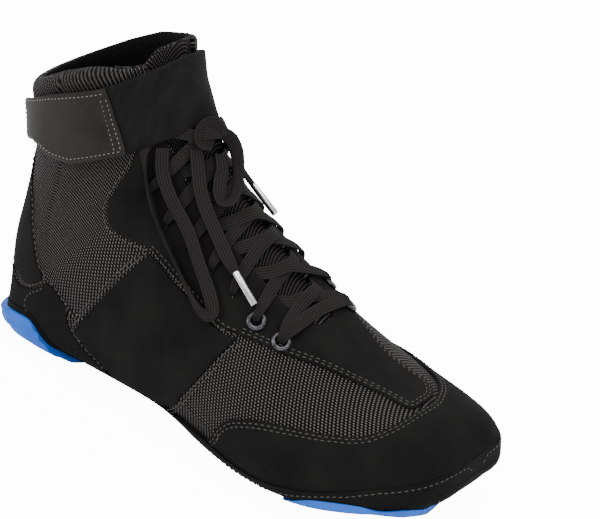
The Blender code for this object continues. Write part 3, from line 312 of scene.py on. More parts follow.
def last_sections():
    """All sections in metres, toe to collar, one row each."""
    foot = np.array(FOOT) * [LENGTH, INSTEP_HEIGHT, LENGTH, INSTEP_HEIGHT,
                             BALL_WIDTH, BALL_WIDTH, BALL_WIDTH, 1, 1, 1]
    shaft = np.array(SHAFT) * [LENGTH, BACK_HEIGHT, LENGTH, FRONT_HEIGHT - INSTEP_HEIGHT,
                               HEEL_WIDTH, HEEL_WIDTH, HEEL_WIDTH, 1, 1, 1]
    shaft[:, 3] += INSTEP_HEIGHT
    return np.concatenate([foot, shaft])


SECTIONS = last_sections()


def between_rows(table, place):
    """Catmull-Rom curve through the rows of a table, at fractional row numbers."""
    last = len(table) - 1
    row = np.clip(np.floor(place).astype(int), 0, last - 1)
    f = (place - row)[..., None]
    before = table[np.maximum(row - 1, 0)]
    here = table[row]
    there = table[row + 1]
    after = table[np.minimum(row + 2, last)]
    bend = 2 * before - 5 * here + 4 * there - after
    swing = 3 * (here - there) + after - before
    return here + 0.5 * f * (there - before + f * (bend + f * swing))


def along_table(table, place):
    """Straight-line value of a two-column table at a place."""
    columns = np.array(table, float)
    return np.interp(place, columns[:, 0], columns[:, 1])


def travelled(points):
    """Distance gone at each point of a line."""
    steps = np.linalg.norm(np.diff(points, axis=0), axis=1)
    return np.concatenate([[0], np.cumsum(steps)])


def ground_curve(x):
    """Height that toe spring and arch add at x."""
    toe = np.clip((x / LENGTH - 0.667) / 0.333, 0, 1.1)
    arch = np.exp(-((x / LENGTH - 0.44) / 0.135) ** 2)
    return TOE_SPRING * toe ** 2 + ARCH_RISE * arch


def skin(station, turn):
    """Points on the last's surface; turn in radians."""
    station, turn = np.broadcast_arrays(np.asarray(station, float), np.asarray(turn, float))
    turn = (turn + pi) % (2 * pi) - pi
    row = between_rows(SECTIONS, station)
    (base_x, base_z, top_x, top_z, mid, lateral, medial, widest, low,
     high) = np.moveaxis(row, -1, 0)
    upper_half = np.cos(turn) >= 0
    power = np.where(upper_half, high, low)
    along = np.abs(np.cos(turn)) ** (2 / power)
    rise = np.where(upper_half, widest + (1 - widest) * along, widest * (1 - along))
    half = np.maximum(np.where(turn >= 0, lateral, medial), 0)
    half = half * np.abs(np.sin(turn)) ** (2 / power)
    x = base_x + (top_x - base_x) * rise
    y = mid - np.sign(turn) * half
    z = BASE_HEIGHT + base_z + (top_z - base_z) * rise
    return np.stack([x, y, z + ground_curve(x)], -1)


def outward(station, turn):
    """Unit normals of the last."""
    station, turn = np.broadcast_arrays(np.asarray(station, float), np.asarray(turn, float))
    ds, dt = 0.04, 0.03
    low = np.maximum(station - ds, 0.02)
    along = skin(low + 2 * ds, turn) - skin(low, turn)
    here = np.maximum(station, 0.05)
    around = skin(here, turn + dt) - skin(here, turn - dt)
    normal = np.cross(along, around)
    normal = normal / np.maximum(np.linalg.norm(normal, axis=-1, keepdims=True), 1e-12)
    at_tip = (station <= 0)[..., None]
    return np.where(at_tip, np.array([1.0, 0.0, 0.0]), normal)


def lifted(station, turn, lift):
    """Points at a height over the last's surface."""
    return skin(station, turn) + outward(station, turn) * np.asarray(lift)[..., None]


def throat_turn(station):
    """Turn of the throat's edge, in radians, from its half width."""
    wide = along_table(THROAT, station) * THROAT_WIDTH
    row = between_rows(SECTIONS, np.asarray(float(station)))
    half = max(0.5 * (row[5] + row[6]), wide * 1.05)
    edge = asin(min((wide / half) ** (row[9] / 2), 1.0))
    ahead = min(station / THROAT_START, 1.0)
    return edge * ahead + radians(12) * (1 - ahead)


def creases(station, turn):
    """Soft hollows and ridges of worn cloth, as a lift in metres at turns in degrees."""
    station, turn = np.asarray(station, float), np.asarray(turn, float)
    total = np.zeros(np.broadcast(station, turn).shape)
    for s0, t0, s1, t1, depth, wide in CREASES:
        along = np.array([(s1 - s0) * ROW_MM, (t1 - t0) * TURN_MM])
        size = np.hypot(*along)
        place = np.stack(np.broadcast_arrays((station - s0) * ROW_MM, (turn - t0) * TURN_MM))
        run = np.tensordot(along / size, place, 1)
        off = along[0] / size * place[1] - along[1] / size * place[0]
        past = np.maximum(np.maximum(-run, run - size), 0)
        total += depth * np.exp(-(off / wide) ** 2 - (past / (2.2 * wide)) ** 2)
    return total


def on_last(station, turn, lift=0.0):
    """Points of the shoe at turns in degrees, with the creases of its cloth."""
    station, turn, lift = np.broadcast_arrays(np.asarray(station, float),
                                              np.asarray(turn, float), lift)
    return lifted(station, np.radians(turn), lift + creases(station, turn)) + ANCHOR


def dipped(station, turn):
    """Stations near the collar's rim, which is lower at the throat than behind."""
    dip = np.interp(turn, RIM_DIP[0], RIM_DIP[1])
    return station - dip * np.clip((station - RIM_DIP_START) / RIM_ROWS, 0, None)


def surface_mm(station, turn):
    """Flat cloth coordinates: mm round from the ridge, and mm along the last."""
    rows, columns, per_row, degrees_each = 93, 145, 4, 2.5
    s, t = np.meshgrid(np.linspace(0, (rows - 1) / per_row, rows),
                       np.linspace(-180, 180, columns), indexing="ij")
    points = skin(s, np.radians(t)) / MM
    around = np.linalg.norm(np.diff(points, axis=1), axis=2)
    around = np.concatenate([np.zeros((rows, 1)), np.cumsum(around, axis=1)], axis=1)
    around -= around[:, columns // 2, None]
    along = np.linalg.norm(np.diff(points, axis=0), axis=2)
    along = np.concatenate([np.zeros((1, columns)), np.cumsum(along, axis=0)], axis=0)
    row = np.clip(np.asarray(station, float) * per_row, 0, rows - 1.04)
    turn = (np.asarray(turn, float) + 180) % 360 - 180
    column = np.clip((turn + 180) / degrees_each, 0, columns - 1.01)
    i, j = row.astype(int), column.astype(int)
    a, b = row - i, column - j
    return np.stack([table[i, j] * (1 - a) * (1 - b) + table[i + 1, j] * a * (1 - b)
                     + table[i, j + 1] * (1 - a) * b + table[i + 1, j + 1] * a * b
                     for table in (around, along)], -1)


def make_object(name, points, faces, slots, uv=None, index=None):
    """A mesh object at the origin, with its cloth coordinates in mm."""
    mesh = bpy.data.meshes.new(name)
    mesh.from_pydata([tuple(p) for p in points], [], [tuple(int(v) for v in f) for f in faces])
    for slot in slots:
        mesh.materials.append(slot)
    if index is not None:
        mesh.polygons.foreach_set("material_index", np.asarray(index, np.int32))
    if uv is not None:
        layer = mesh.uv_layers.new(name="cloth_mm")
        corner = np.zeros(len(mesh.loops), np.int32)
        mesh.loops.foreach_get("vertex_index", corner)
        layer.data.foreach_set("uv", (np.asarray(uv)[corner] * UV_PER_MM).ravel())
    mesh.update()
    thing = bpy.data.objects.new(name, mesh)
    bpy.context.scene.collection.objects.link(thing)
    return thing


def tidy(thing, merge=2e-6, sharp=48):
    """Merges coincident points, turns the faces outward and rounds the shading."""
    work = bmesh.new()
    work.from_mesh(thing.data)
    bmesh.ops.remove_doubles(work, verts=work.verts[:], dist=merge)
    bmesh.ops.dissolve_degenerate(work, edges=work.edges[:], dist=1e-7)
    bmesh.ops.recalc_face_normals(work, faces=work.faces[:])
    work.to_mesh(thing.data)
    work.free()
    thing.data.shade_smooth()
    thing.data.set_sharp_from_angle(angle=radians(sharp))
    return thing


def settle(piece, node):
    """Lets a finished piece stand for its frame nodes."""
    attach(piece, "root")
    if node:
        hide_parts(*([node] if isinstance(node, str) else node))
    return piece


def wall(name, station, turn, cells, low, high, slots, inner_slot=0, rim=None):
    """A closed wall over cells of a grid or triangulation, between two lifts."""
    station, turn = station.ravel(), turn.ravel()
    outer = on_last(station, turn, high)
    inner = on_last(station, turn, low)
    keys = {}
    merged = np.array([keys.setdefault(tuple(p), len(keys))
                       for p in np.round(on_last(station, turn, 0.0) * 2e5).astype(int)])
    total = len(station)
    faces, index, edges = [], [], {}
    for cell in cells:
        faces.append(list(cell))
        index.append(0)
        faces.append([total + node for node in reversed(cell)])
        index.append(inner_slot)
        for start, end in zip(cell, list(cell[1:]) + [cell[0]]):
            if merged[start] != merged[end]:
                edges[(merged[start], merged[end])] = (start, end)
    for (start, end), (node, following) in edges.items():
        if (end, start) not in edges:
            faces.append([following, node, total + node, total + following])
            index.append(inner_slot if rim is None else rim)
    uv = surface_mm(station, turn)
    piece = make_object(name, np.concatenate([outer, inner]), faces, slots,
                        np.concatenate([uv, uv]), index)
    return tidy(piece)


def grid(stations, turns):
    """Station and turn grids, with turns given for the whole grid or for each row."""
    turns = np.asarray(turns, float)
    if turns.ndim == 1:
        turns = np.broadcast_to(turns, (len(stations), len(turns)))
    return np.broadcast_to(np.asarray(stations, float)[:, None], turns.shape), turns


def grid_cells(shape, keep):
    """The cells of a grid whose first corner is kept."""
    rows, columns = np.meshgrid(range(shape[0] - 1), range(shape[1] - 1), indexing="ij")
    first = rows * shape[1] + columns
    cells = np.stack([first, first + shape[1], first + shape[1] + 1, first + 1], -1)
    return [tuple(cell) for cell in cells[keep[:-1, :-1]]]


def dense_run(run, step=1.1):
    """A smooth open run of (station, turn) places, about step mm apart."""
    rows = np.array(run, float)
    fine = between_rows(rows, np.linspace(0, len(rows) - 1, 24 * (len(rows) - 1) + 1))
    points = skin(fine[:, 0], np.radians(fine[:, 1])) / MM
    length = travelled(points)
    count = max(2, int(round(length[-1] / step)) + 1)
    even = np.linspace(0, length[-1], count)
    return np.stack([np.interp(even, length, fine[:, 0]), np.interp(even, length, fine[:, 1])], 1)


def inset(line, distance, closed=True):
    """A line moved across the last by mm, to the left of its way."""
    station, turn = line[:, 0], line[:, 1]
    here = skin(station, np.radians(turn))
    if closed:
        ahead = np.roll(here, -1, 0) - np.roll(here, 1, 0)
    else:
        ahead = np.gradient(here, axis=0)
    normal = outward(station, np.radians(turn))
    side = np.cross(normal, ahead)
    side /= np.maximum(np.linalg.norm(side, axis=1, keepdims=True), 1e-12)
    ds = (skin(station + 0.02, np.radians(turn)) - here) / 0.02
    dt = (skin(station, np.radians(turn + 0.5)) - here) / 0.5
    a, b, c = (ds * ds).sum(1), (ds * dt).sum(1), (dt * dt).sum(1)
    p, q = (ds * side).sum(1), (dt * side).sum(1)
    det = np.maximum(a * c - b * b, 1e-16)
    move = np.stack([(c * p - b * q) / det, (a * q - b * p) / det], 1) * distance * MM
    limit = np.array([0.9, 25.0])
    return line + np.clip(move, -limit, limit)


def flatten(line, polar):
    """Outline places in the plane that they are triangulated in."""
    if polar:
        angle = np.radians(line[:, 1])
        return np.stack([line[:, 0] * np.cos(angle), line[:, 0] * np.sin(angle)], 1)
    return np.stack([line[:, 0], line[:, 1] / 15], 1)


def unflatten(spots, polar):
    """Outline places from their plane."""
    if polar:
        return np.stack([np.hypot(spots[:, 0], spots[:, 1]),
                         np.degrees(np.arctan2(spots[:, 1], spots[:, 0]))], 1)
    return np.stack([spots[:, 0], spots[:, 1] * 15], 1)


def inside(spots, outline):
    """Which spots lie inside a closed outline."""
    x, y = spots[:, 0][:, None], spots[:, 1][:, None]
    x0, y0 = outline[:, 0][None], outline[:, 1][None]
    x1, y1 = np.roll(outline[:, 0], -1)[None], np.roll(outline[:, 1], -1)[None]
    crosses = (y0 > y) != (y1 > y)
    edge = x0 + (x1 - x0) * (y - y0) / np.where(y1 == y0, 1e-9, y1 - y0)
    return (crosses & (x < edge)).sum(1) % 2 == 1


def panel(name, runs, slots, lift, thick, polar=False, holes=()):
    """A sewn-on panel: a sheet of its outline with rounded edges and punched holes.

    lift and thick are mm, and holes are (station, turn, mm).
    """
    loop = np.concatenate([dense_run(run)[:-1] for run in runs])
    flat = flatten(loop, polar)
    if inside(flatten(inset(loop, 1.0), polar), flat).mean() < 0.5:
        loop = loop[::-1]
        flat = flat[::-1]
    rings = [loop]
    spots = [flat]
    lifts = [np.full(len(loop), -0.55 * thick)]
    for step, drop in ((0.30, -0.14), (0.75, 0.0)):
        ring = flatten(inset(loop, step), polar)
        ok = inside(ring, flat)
        spots.append(ring[ok])
        lifts.append(np.full(ok.sum(), drop * thick))
    borders = [[(i, (i + 1) % len(loop)) for i in range(len(loop))]]
    hole_loops = []
    start = sum(len(s) for s in spots)
    for station, turn, width in holes:
        angle = np.linspace(0, 2 * pi, 15)[:-1]
        here = skin(station, radians(turn))
        ds = np.linalg.norm(skin(station + 0.02, radians(turn)) - here) / 0.02
        dt = np.linalg.norm(skin(station, radians(turn + 0.5)) - here) / 0.5
        ring = np.stack([station + np.cos(angle) * width / 2 * MM / ds,
                         turn + np.sin(angle) * width / 2 * MM / dt], 1)
        ring = flatten(ring, polar)
        spots.append(ring)
        lifts.append(np.full(len(ring), -0.45 * thick))
        hole_loops.append(ring)
        borders.append([(start + i, start + (i + 1) % len(ring)) for i in range(len(ring))])
        start += len(ring)
    low, high = flat.min(0), flat.max(0)
    xs = np.arange(low[0], high[0], 0.22)
    ys = np.arange(low[1], high[1], 0.24)
    field = np.stack(np.meshgrid(xs, ys, indexing="ij"), -1).reshape(-1, 2)
    field = field[inside(field, flat)]
    for ring in hole_loops:
        field = field[~inside(field, ring)]
    place = unflatten(field, polar)
    points = skin(place[:, 0], np.radians(place[:, 1])) / MM
    border = skin(loop[:, 0], np.radians(loop[:, 1])) / MM
    near = np.array([np.sqrt(((border - p) ** 2).sum(1).min()) for p in points])
    spots.append(field[near > 1.3])
    lifts.append(np.zeros(len(spots[-1])))
    spots = np.concatenate(spots)
    lifts = np.concatenate(lifts)
    edges = [edge for border in borders for edge in border]
    flat_out, _, triangles, origin, _, _ = delaunay_2d_cdt([Vector(s) for s in spots], edges, [],
                                                           0, 1e-7)
    where = np.array([list(spot) for spot in flat_out])
    rise = np.array([lifts[source[0]] if source else 0.0 for source in origin])
    middle = np.array([where[list(t)].mean(0) for t in triangles])
    keep = inside(middle, flat)
    for ring in hole_loops:
        keep &= ~inside(middle, ring)
    cells = [t for t, ok in zip(triangles, keep) if ok]
    place = unflatten(where, polar)
    high = (lift + thick + rise) * MM
    return wall(name, place[:, 0], place[:, 1], cells, lift * MM, high, slots)


def stitch_rows(name, rows, thread, slots, length, gap, sunk=0.35):
    """Rows of thread stitches; each row is (places, lift in mm), and sizes are mm."""
    rings, sides = 5, 6
    bow = np.linspace(-1, 1, rings)
    angle = np.linspace(0, 2 * pi, sides + 1)[:-1]
    shape = []
    for share in bow:
        fat = np.sqrt(max(0.0, 1 - abs(share) ** 3.0)) * 0.98 + 0.02
        for a in angle:
            shape.append((share * length / 2, np.cos(a) * thread / 2 * fat,
                          np.sin(a) * thread / 2 * fat - sunk * thread * share ** 2))
    shape = np.array(shape) * MM
    pattern = [list(range(sides))[::-1], [(rings - 1) * sides + i for i in range(sides)]]
    for ring in range(rings - 1):
        for side in range(sides):
            after = (side + 1) % sides
            pattern.append([ring * sides + side, ring * sides + after,
                            (ring + 1) * sides + after, (ring + 1) * sides + side])
    points, faces = [], []
    for places, lift in rows:
        path = on_last(places[:, 0], places[:, 1], lift * MM)
        up = outward(places[:, 0], np.radians(places[:, 1]))
        run = travelled(path)
        count = int(run[-1] / MM / (length + gap))
        for number in range(count):
            at = (number + 0.5) * (length + gap) * MM
            centre, before, beyond, normal = (
                np.array([np.interp(place, run, line[:, i]) for i in range(3)])
                for place, line in ((at, path), (at - MM, path), (at + MM, path), (at, up)))
            ahead = beyond - before
            ahead /= np.linalg.norm(ahead)
            side = np.cross(normal, ahead)
            side /= np.linalg.norm(side)
            normal = np.cross(ahead, side)
            base = len(points) * len(shape)
            points.append(centre + shape @ np.stack([ahead, side, normal]))
            faces += [[base + node for node in face] for face in pattern]
    piece = make_object(name, np.concatenate(points), faces, slots)
    piece.data.shade_smooth()
    return settle(piece, None)


def smooth_path(rows, step):
    """Even points in mm of step along a curve through rows, with every other column."""
    rows = np.array(rows, float)
    fine = between_rows(rows, np.linspace(0, len(rows) - 1, 40 * (len(rows) - 1) + 1))
    run = travelled(fine[:, :3])
    even = np.linspace(0, run[-1], max(4, int(run[-1] / (step * MM)) + 1))
    return np.stack([np.interp(even, run, fine[:, i]) for i in range(rows.shape[1])], 1)


def lace_ribbon(name, route, slots, width, thick, ribs=5, step=1.0):
    """A flat ribbed lace along (station, turn, lift mm, roll, narrowing) places.

    roll turns its broad side from the shoe's surface, in degrees, and narrowing bunches it.
    """
    route = np.array(route, float)
    centre = on_last(route[:, 0], route[:, 1], route[:, 2] * MM)
    up = outward(route[:, 0], np.radians(route[:, 1]))
    rows = smooth_path(np.concatenate([centre, up, route[:, 3:5]], 1), step)
    path, up, roll, narrow = rows[:, :3], rows[:, 3:6], np.radians(rows[:, 6]), rows[:, 7]
    ahead = np.gradient(path, axis=0)
    ahead /= np.linalg.norm(ahead, axis=1, keepdims=True)
    side = np.cross(up, ahead)
    side /= np.linalg.norm(side, axis=1, keepdims=True)
    up = np.cross(ahead, side)
    across = side * np.cos(roll)[:, None] + up * np.sin(roll)[:, None]
    face = np.cross(ahead, across)
    top = np.linspace(-1, 1, 4 * ribs + 1)
    rib = 0.74 + 0.26 * np.abs(np.cos(top * ribs * pi / 2 + (pi / 2 if ribs % 2 else 0)))
    rib *= np.sqrt(np.maximum(0.0, 1 - np.abs(top) ** 6)) * 0.75 + 0.25
    profile = np.concatenate([np.stack([top, rib], 1), np.stack([top[::-1], -rib[::-1]], 1)[1:-1]])
    wide = width / 2 * MM * (1 - 0.45 * narrow)
    deep = thick / 2 * MM * (1 + 0.8 * narrow)
    rings = (path[:, None] + across[:, None] * profile[None, :, :1] * wide[:, None, None]
             + face[:, None] * profile[None, :, 1:] * deep[:, None, None])
    count, sides = rings.shape[:2]
    faces = [list(range(sides)), [(count - 1) * sides + i for i in range(sides)][::-1]]
    for row in range(count - 1):
        for node in range(sides):
            after = (node + 1) % sides
            faces.append([row * sides + node, (row + 1) * sides + node,
                          (row + 1) * sides + after, row * sides + after])
    run = travelled(path) / MM
    uv = np.stack(np.broadcast_arrays(profile[None, :, 0] * width / 2, run[:, None]), -1)
    piece = make_object(name, rings.reshape(-1, 3), faces, slots, uv.reshape(-1, 2))
    return tidy(piece, merge=1e-7, sharp=60), path


def join(name, things):
    """One object from several, by Blender's own join."""
    bpy.ops.object.select_all(action="DESELECT")
    for thing in things:
        thing.select_set(True)
    bpy.context.view_layer.objects.active = things[0]
    if len(things) > 1:
        bpy.ops.object.join()
    things[0].name = things[0].data.name = name
    bpy.ops.object.select_all(action="DESELECT")
    return things[0]


def turn_to_skin(thing, station, turn, lift):
    """Moves a mesh from the origin to a place of the last, its Z along the normal."""
    normal = Vector(outward(station, radians(turn)))
    place = Matrix.Translation(Vector(on_last(station, turn, lift * MM)))
    thing.data.transform(place @ normal.to_track_quat("Z", "Y").to_matrix().to_4x4())
    return thing


# Kinds of node that the finishes use most
MATH = "ShaderNodeMath"
NOISE = "ShaderNodeTexNoise"
RAMP = "ShaderNodeValToRGB"
SPLIT = "ShaderNodeSeparateXYZ"


def linear(code):
    """A linear colour from an sRGB hex value."""
    parts = [int(code.lstrip("#")[i:i + 2], 16) / 255 for i in (0, 2, 4)]
    return (*[c / 12.92 if c <= 0.04045 else ((c + 0.055) / 1.055) ** 2.4 for c in parts], 1.0)


def node(tree, kind, inputs=None, stops=(), **settings):
    """Adds a node with its settings, its ramp's (place, hex) stops and its inputs.

    An input is a value, a socket to link, or a node whose first output is linked.
    """
    made = tree.nodes.new(kind)
    for key, value in settings.items():
        setattr(made, key, value)
    if stops:
        while len(made.color_ramp.elements) < len(stops):
            made.color_ramp.elements.new(0.5)
        for element, (place, code) in zip(made.color_ramp.elements, stops):
            element.position = place
            element.color = linear(code)
    for key, value in (inputs or {}).items():
        if isinstance(value, bpy.types.Node):
            value = value.outputs[0]
        if isinstance(value, bpy.types.NodeSocket):
            tree.links.new(value, made.inputs[key])
        else:
            made.inputs[key].default_value = value
    return made


def base(name, **sockets):
    """A material with its Principled shader; constants stay on the shader's own sockets."""
    material = bpy.data.materials.new(name)
    material.use_nodes = True
    shader = material.node_tree.nodes["Principled BSDF"]
    for key, value in sockets.items():
        shader.inputs[key.replace("_", " ")].default_value = value
    return material, material.node_tree, shader


def wire(tree, shader, color, rough=None, height=None, depth=0.2, strength=1.0):
    """Links a finish to its shader; depth is the height of its relief in mm."""
    finish = {"Base Color": color, "Roughness": rough}
    if height is not None:
        finish["Normal"] = node(tree, "ShaderNodeBump", {"Height": height, "Distance": depth * MM,
                                                         "Strength": strength})
    for key, source in finish.items():
        if source is not None:
            tree.links.new(source.outputs[0], shader.inputs[key])


def object_mm(tree):
    """Object coordinates in millimetres."""
    place = node(tree, "ShaderNodeTexCoord").outputs["Object"]
    return node(tree, "ShaderNodeVectorMath", {0: place, 3: 1 / MM}, operation="SCALE")


def cloth_mm(tree, turn=0.0):
    """The piece's own cloth coordinates in millimetres, turned by degrees."""
    flat = node(tree, "ShaderNodeUVMap", uv_map="cloth_mm")
    big = node(tree, "ShaderNodeVectorMath", {0: flat, 3: 1 / UV_PER_MM}, operation="SCALE")
    return node(tree, "ShaderNodeMapping", {"Vector": big, "Rotation": (0, 0, radians(turn))})


def suede(name, dark, light):
    """Microfibre suede: its brushed nap gives a dull dark face with faint lighter strokes."""
    material, tree, shader = base(name, Roughness=0.9, Specular_IOR_Level=0.05)
    place = object_mm(tree)
    cloud = node(tree, NOISE, {"Vector": place, "Scale": 0.045, "Detail": 4.0})
    nap = node(tree, NOISE, {"Vector": place, "Scale": 2.6, "Detail": 3.0, "Roughness": 0.65})
    shade = node(tree, MATH, {0: cloud, 1: 0.6}, operation="MULTIPLY")
    shade = node(tree, MATH, {0: nap, 1: 0.5, 2: shade}, operation="MULTIPLY_ADD")
    color = node(tree, RAMP, {0: shade}, [(0.30, dark), (0.78, light)])
    rough = node(tree, MATH, {0: cloud, 1: -0.16, 2: 0.92}, operation="MULTIPLY_ADD")
    wire(tree, shader, color, rough, nap, 0.12, 0.55)
    return material


def spacer_mesh(name, base_and_hole_shade, yarn, pitch, turn):
    """Polyester spacer mesh: yarns knitted round staggered holes, pitch mm apart.

    Its dark base shows between paler threads, and painted shade makes the holes near-black,
    so it reads as a coarse open knit.
    """
    material, tree, shader = base(name, Roughness=0.75, Specular_IOR_Level=0.07)
    place = cloth_mm(tree, turn)
    part = node(tree, SPLIT, {"Vector": place})
    wobble = node(tree, NOISE, {"Vector": place, "Scale": 0.35, "Detail": 1.0})
    around = node(tree, MATH, {0: wobble, 1: 0.5, 2: part}, operation="MULTIPLY_ADD")
    around = node(tree, MATH, {0: around, 1: 2 * pi / (pitch * 1.25)}, operation="MULTIPLY")
    row = node(tree, MATH, {0: part.outputs[1], 1: 2 * pi / pitch}, operation="MULTIPLY")
    row = node(tree, MATH, {0: row}, operation="SINE")
    yarns = []
    for slant in (pi / pitch, -pi / pitch):
        angle = node(tree, MATH, {0: part.outputs[1], 1: slant, 2: around},
                     operation="MULTIPLY_ADD")
        yarns.append(node(tree, MATH, {0: angle}, operation="SINE"))
    knit = node(tree, MATH, {0: yarns[0], 1: yarns[1]}, operation="MULTIPLY")
    knit = node(tree, MATH, {0: row, 1: 0.35, 2: knit}, operation="MULTIPLY_ADD")
    fuzz = node(tree, NOISE, {"Vector": place, "Scale": 4.5, "Detail": 2.0})
    fuzz = node(tree, MATH, {0: fuzz, 1: 0.5}, operation="SUBTRACT")
    knit = node(tree, MATH, {0: fuzz, 1: 0.9, 2: knit}, operation="MULTIPLY_ADD")
    height = node(tree, MATH, {0: knit, 1: 0.4, 2: 0.5}, operation="MULTIPLY_ADD")
    # Painted shade: the knit's low points, its holes, are near-black, and its yarn tops are paler
    color = node(tree, RAMP, {0: height}, [(0.38, base_and_hole_shade), (0.60, yarn[0]), (0.90, yarn[1])])
    wire(tree, shader, color, None, height, 0.45, 0.9)
    return material


def webbing(name, dark, light, pitch=0.9):
    """Woven elastic: ribs pitch mm apart and a tighter weft, which look flat, dense and matt."""
    material, tree, shader = base(name, Roughness=0.85, Specular_IOR_Level=0.06)
    place = cloth_mm(tree)
    part = node(tree, SPLIT, {"Vector": place})
    waves = []
    for way, size in ((1, pitch), (0, pitch * 0.7)):
        angle = node(tree, MATH, {0: part.outputs[way], 1: 2 * pi / size}, operation="MULTIPLY")
        waves.append(node(tree, MATH, {0: angle}, operation="SINE"))
    cross = node(tree, MATH, {0: waves[0], 1: waves[1]}, operation="MULTIPLY")
    height = node(tree, MATH, {0: waves[0], 1: 0.2, 2: 0.5}, operation="MULTIPLY_ADD")
    height = node(tree, MATH, {0: cross, 1: 0.25, 2: height}, operation="MULTIPLY_ADD")
    cloud = node(tree, NOISE, {"Vector": place, "Scale": 0.09, "Detail": 3.0})
    shade = node(tree, MATH, {0: height, 1: 0.3}, operation="MULTIPLY")
    shade = node(tree, MATH, {0: cloud, 1: 0.7, 2: shade}, operation="MULTIPLY_ADD")
    color = node(tree, RAMP, {0: shade}, [(0.3, dark), (0.75, light)])
    wire(tree, shader, color, None, height, 0.14, 0.6)
    return material


def grained(name, dark, light, grain=0.9):
    """Coated leather: its pebbles, grain mm apart, break up a low even sheen."""
    material, tree, shader = base(name, Roughness=0.58, Specular_IOR_Level=0.12,
                                  Coat_Weight=0.01, Coat_Roughness=0.45)
    place = object_mm(tree)
    cell = node(tree, "ShaderNodeTexVoronoi", {"Vector": place, "Scale": 1 / grain},
                feature="SMOOTH_F1")
    cloud = node(tree, NOISE, {"Vector": place, "Scale": 0.05, "Detail": 3.0})
    shade = node(tree, MATH, {0: cell, 1: 0.25, 2: cloud}, operation="MULTIPLY_ADD")
    color = node(tree, RAMP, {0: shade}, [(0.35, dark), (0.85, light)])
    wire(tree, shader, color, None, cell, 0.10, 0.5)
    return material


def rubber(name, dark, light, rough, grit, depth, gloss):
    """Moulded gum rubber: the mould's grit, in mm, gives a soft highlight over an even tone."""
    material, tree, shader = base(name, Roughness=rough, Specular_IOR_Level=gloss)
    place = object_mm(tree)
    fine = node(tree, NOISE, {"Vector": place, "Scale": 1 / grit, "Detail": 3.0})
    cloud = node(tree, NOISE, {"Vector": place, "Scale": 0.06, "Detail": 4.0})
    shade = node(tree, MATH, {0: cloud, 1: 0.7}, operation="MULTIPLY")
    shade = node(tree, MATH, {0: fine, 1: 0.3, 2: shade}, operation="MULTIPLY_ADD")
    color = node(tree, RAMP, {0: shade}, [(0.32, dark), (0.72, light)])
    wear = node(tree, MATH, {0: cloud, 1: 0.15, 2: rough}, operation="MULTIPLY_ADD")
    wire(tree, shader, color, wear, fine, depth, 0.6)
    return material


def tricot(name, dark, light):
    """Brushed tricot lining: a short pile, which looks black and gives no highlight."""
    material, tree, shader = base(name, Roughness=0.95, Specular_IOR_Level=0.04)
    pile = node(tree, NOISE, {"Vector": object_mm(tree), "Scale": 1.4, "Detail": 3.0})
    color = node(tree, RAMP, {0: pile}, [(0.3, dark), (0.7, light)])
    wire(tree, shader, color, None, pile, 0.2, 0.6)
    return material


def lace_cloth(name, dark, light, twist=0.9, rib=1.3):
    """Flat woven lace: cords rib mm apart with a slanted twist, matt and faintly grained."""
    material, tree, shader = base(name, Roughness=0.88, Specular_IOR_Level=0.06)
    part = node(tree, SPLIT, {"Vector": cloth_mm(tree)})
    slant = node(tree, MATH, {0: part, 1: 1.1, 2: part.outputs[1]}, operation="MULTIPLY_ADD")
    yarn = node(tree, MATH, {0: slant, 1: 2 * pi / twist}, operation="MULTIPLY")
    yarn = node(tree, MATH, {0: yarn}, operation="SINE")
    cord = node(tree, MATH, {0: part, 1: 2 * pi / rib}, operation="MULTIPLY")
    cord = node(tree, MATH, {0: cord}, operation="COSINE")
    fuzz = node(tree, NOISE, {"Vector": object_mm(tree), "Scale": 3.0, "Detail": 2.0})
    height = node(tree, MATH, {0: cord, 1: 0.2, 2: 0.5}, operation="MULTIPLY_ADD")
    height = node(tree, MATH, {0: yarn, 1: 0.22, 2: height}, operation="MULTIPLY_ADD")
    height = node(tree, MATH, {0: fuzz, 1: 0.25, 2: height}, operation="MULTIPLY_ADD")
    color = node(tree, RAMP, {0: height}, [(0.25, dark), (0.95, light)])
    wire(tree, shader, color, None, height, 0.22, 0.8)
    return material


def thread_yarn(name, dark, light):
    """Bonded polyester thread: waxed, so each stitch catches a small pale glint."""
    material, tree, shader = base(name, Roughness=0.7, Specular_IOR_Level=0.2)
    twist = node(tree, "ShaderNodeTexWave", {"Vector": object_mm(tree), "Scale": 1.2,
                                             "Distortion": 1.0}, bands_direction="DIAGONAL")
    color = node(tree, RAMP, {0: twist.outputs["Fac"]}, [(0.0, dark), (1.0, light)])
    wire(tree, shader, color, None, twist.outputs["Fac"], 0.06, 0.5)
    return material


def plated(name, dark, light, rough):
    """Plated metal: tumbled and a little rubbed, so its reflections are soft and uneven."""
    material, tree, shader = base(name, Metallic=1.0, Roughness=rough)
    rub = node(tree, NOISE, {"Vector": object_mm(tree), "Scale": 0.8, "Detail": 4.0})
    color = node(tree, RAMP, {0: rub}, [(0.3, dark), (0.7, light)])
    worn = node(tree, MATH, {0: rub, 1: 0.22, 2: rough - 0.1}, operation="MULTIPLY_ADD")
    wire(tree, shader, color, worn, rub, 0.02, 0.4)
    return material


def stage_paper(name, shade):
    """Matt paper sweep, lit through so that it stays white behind the dark shoe."""
    material, tree, shader = base(name, Roughness=0.9, Emission_Strength=12.0,
                                  Emission_Color=(1, 1, 1, 1))
    fibre = node(tree, NOISE, {"Vector": object_mm(tree), "Scale": 0.02})
    wire(tree, shader, node(tree, RAMP, {0: fibre}, [(0.3, shade), (0.7, shade)]))
    return material


MADE = {}


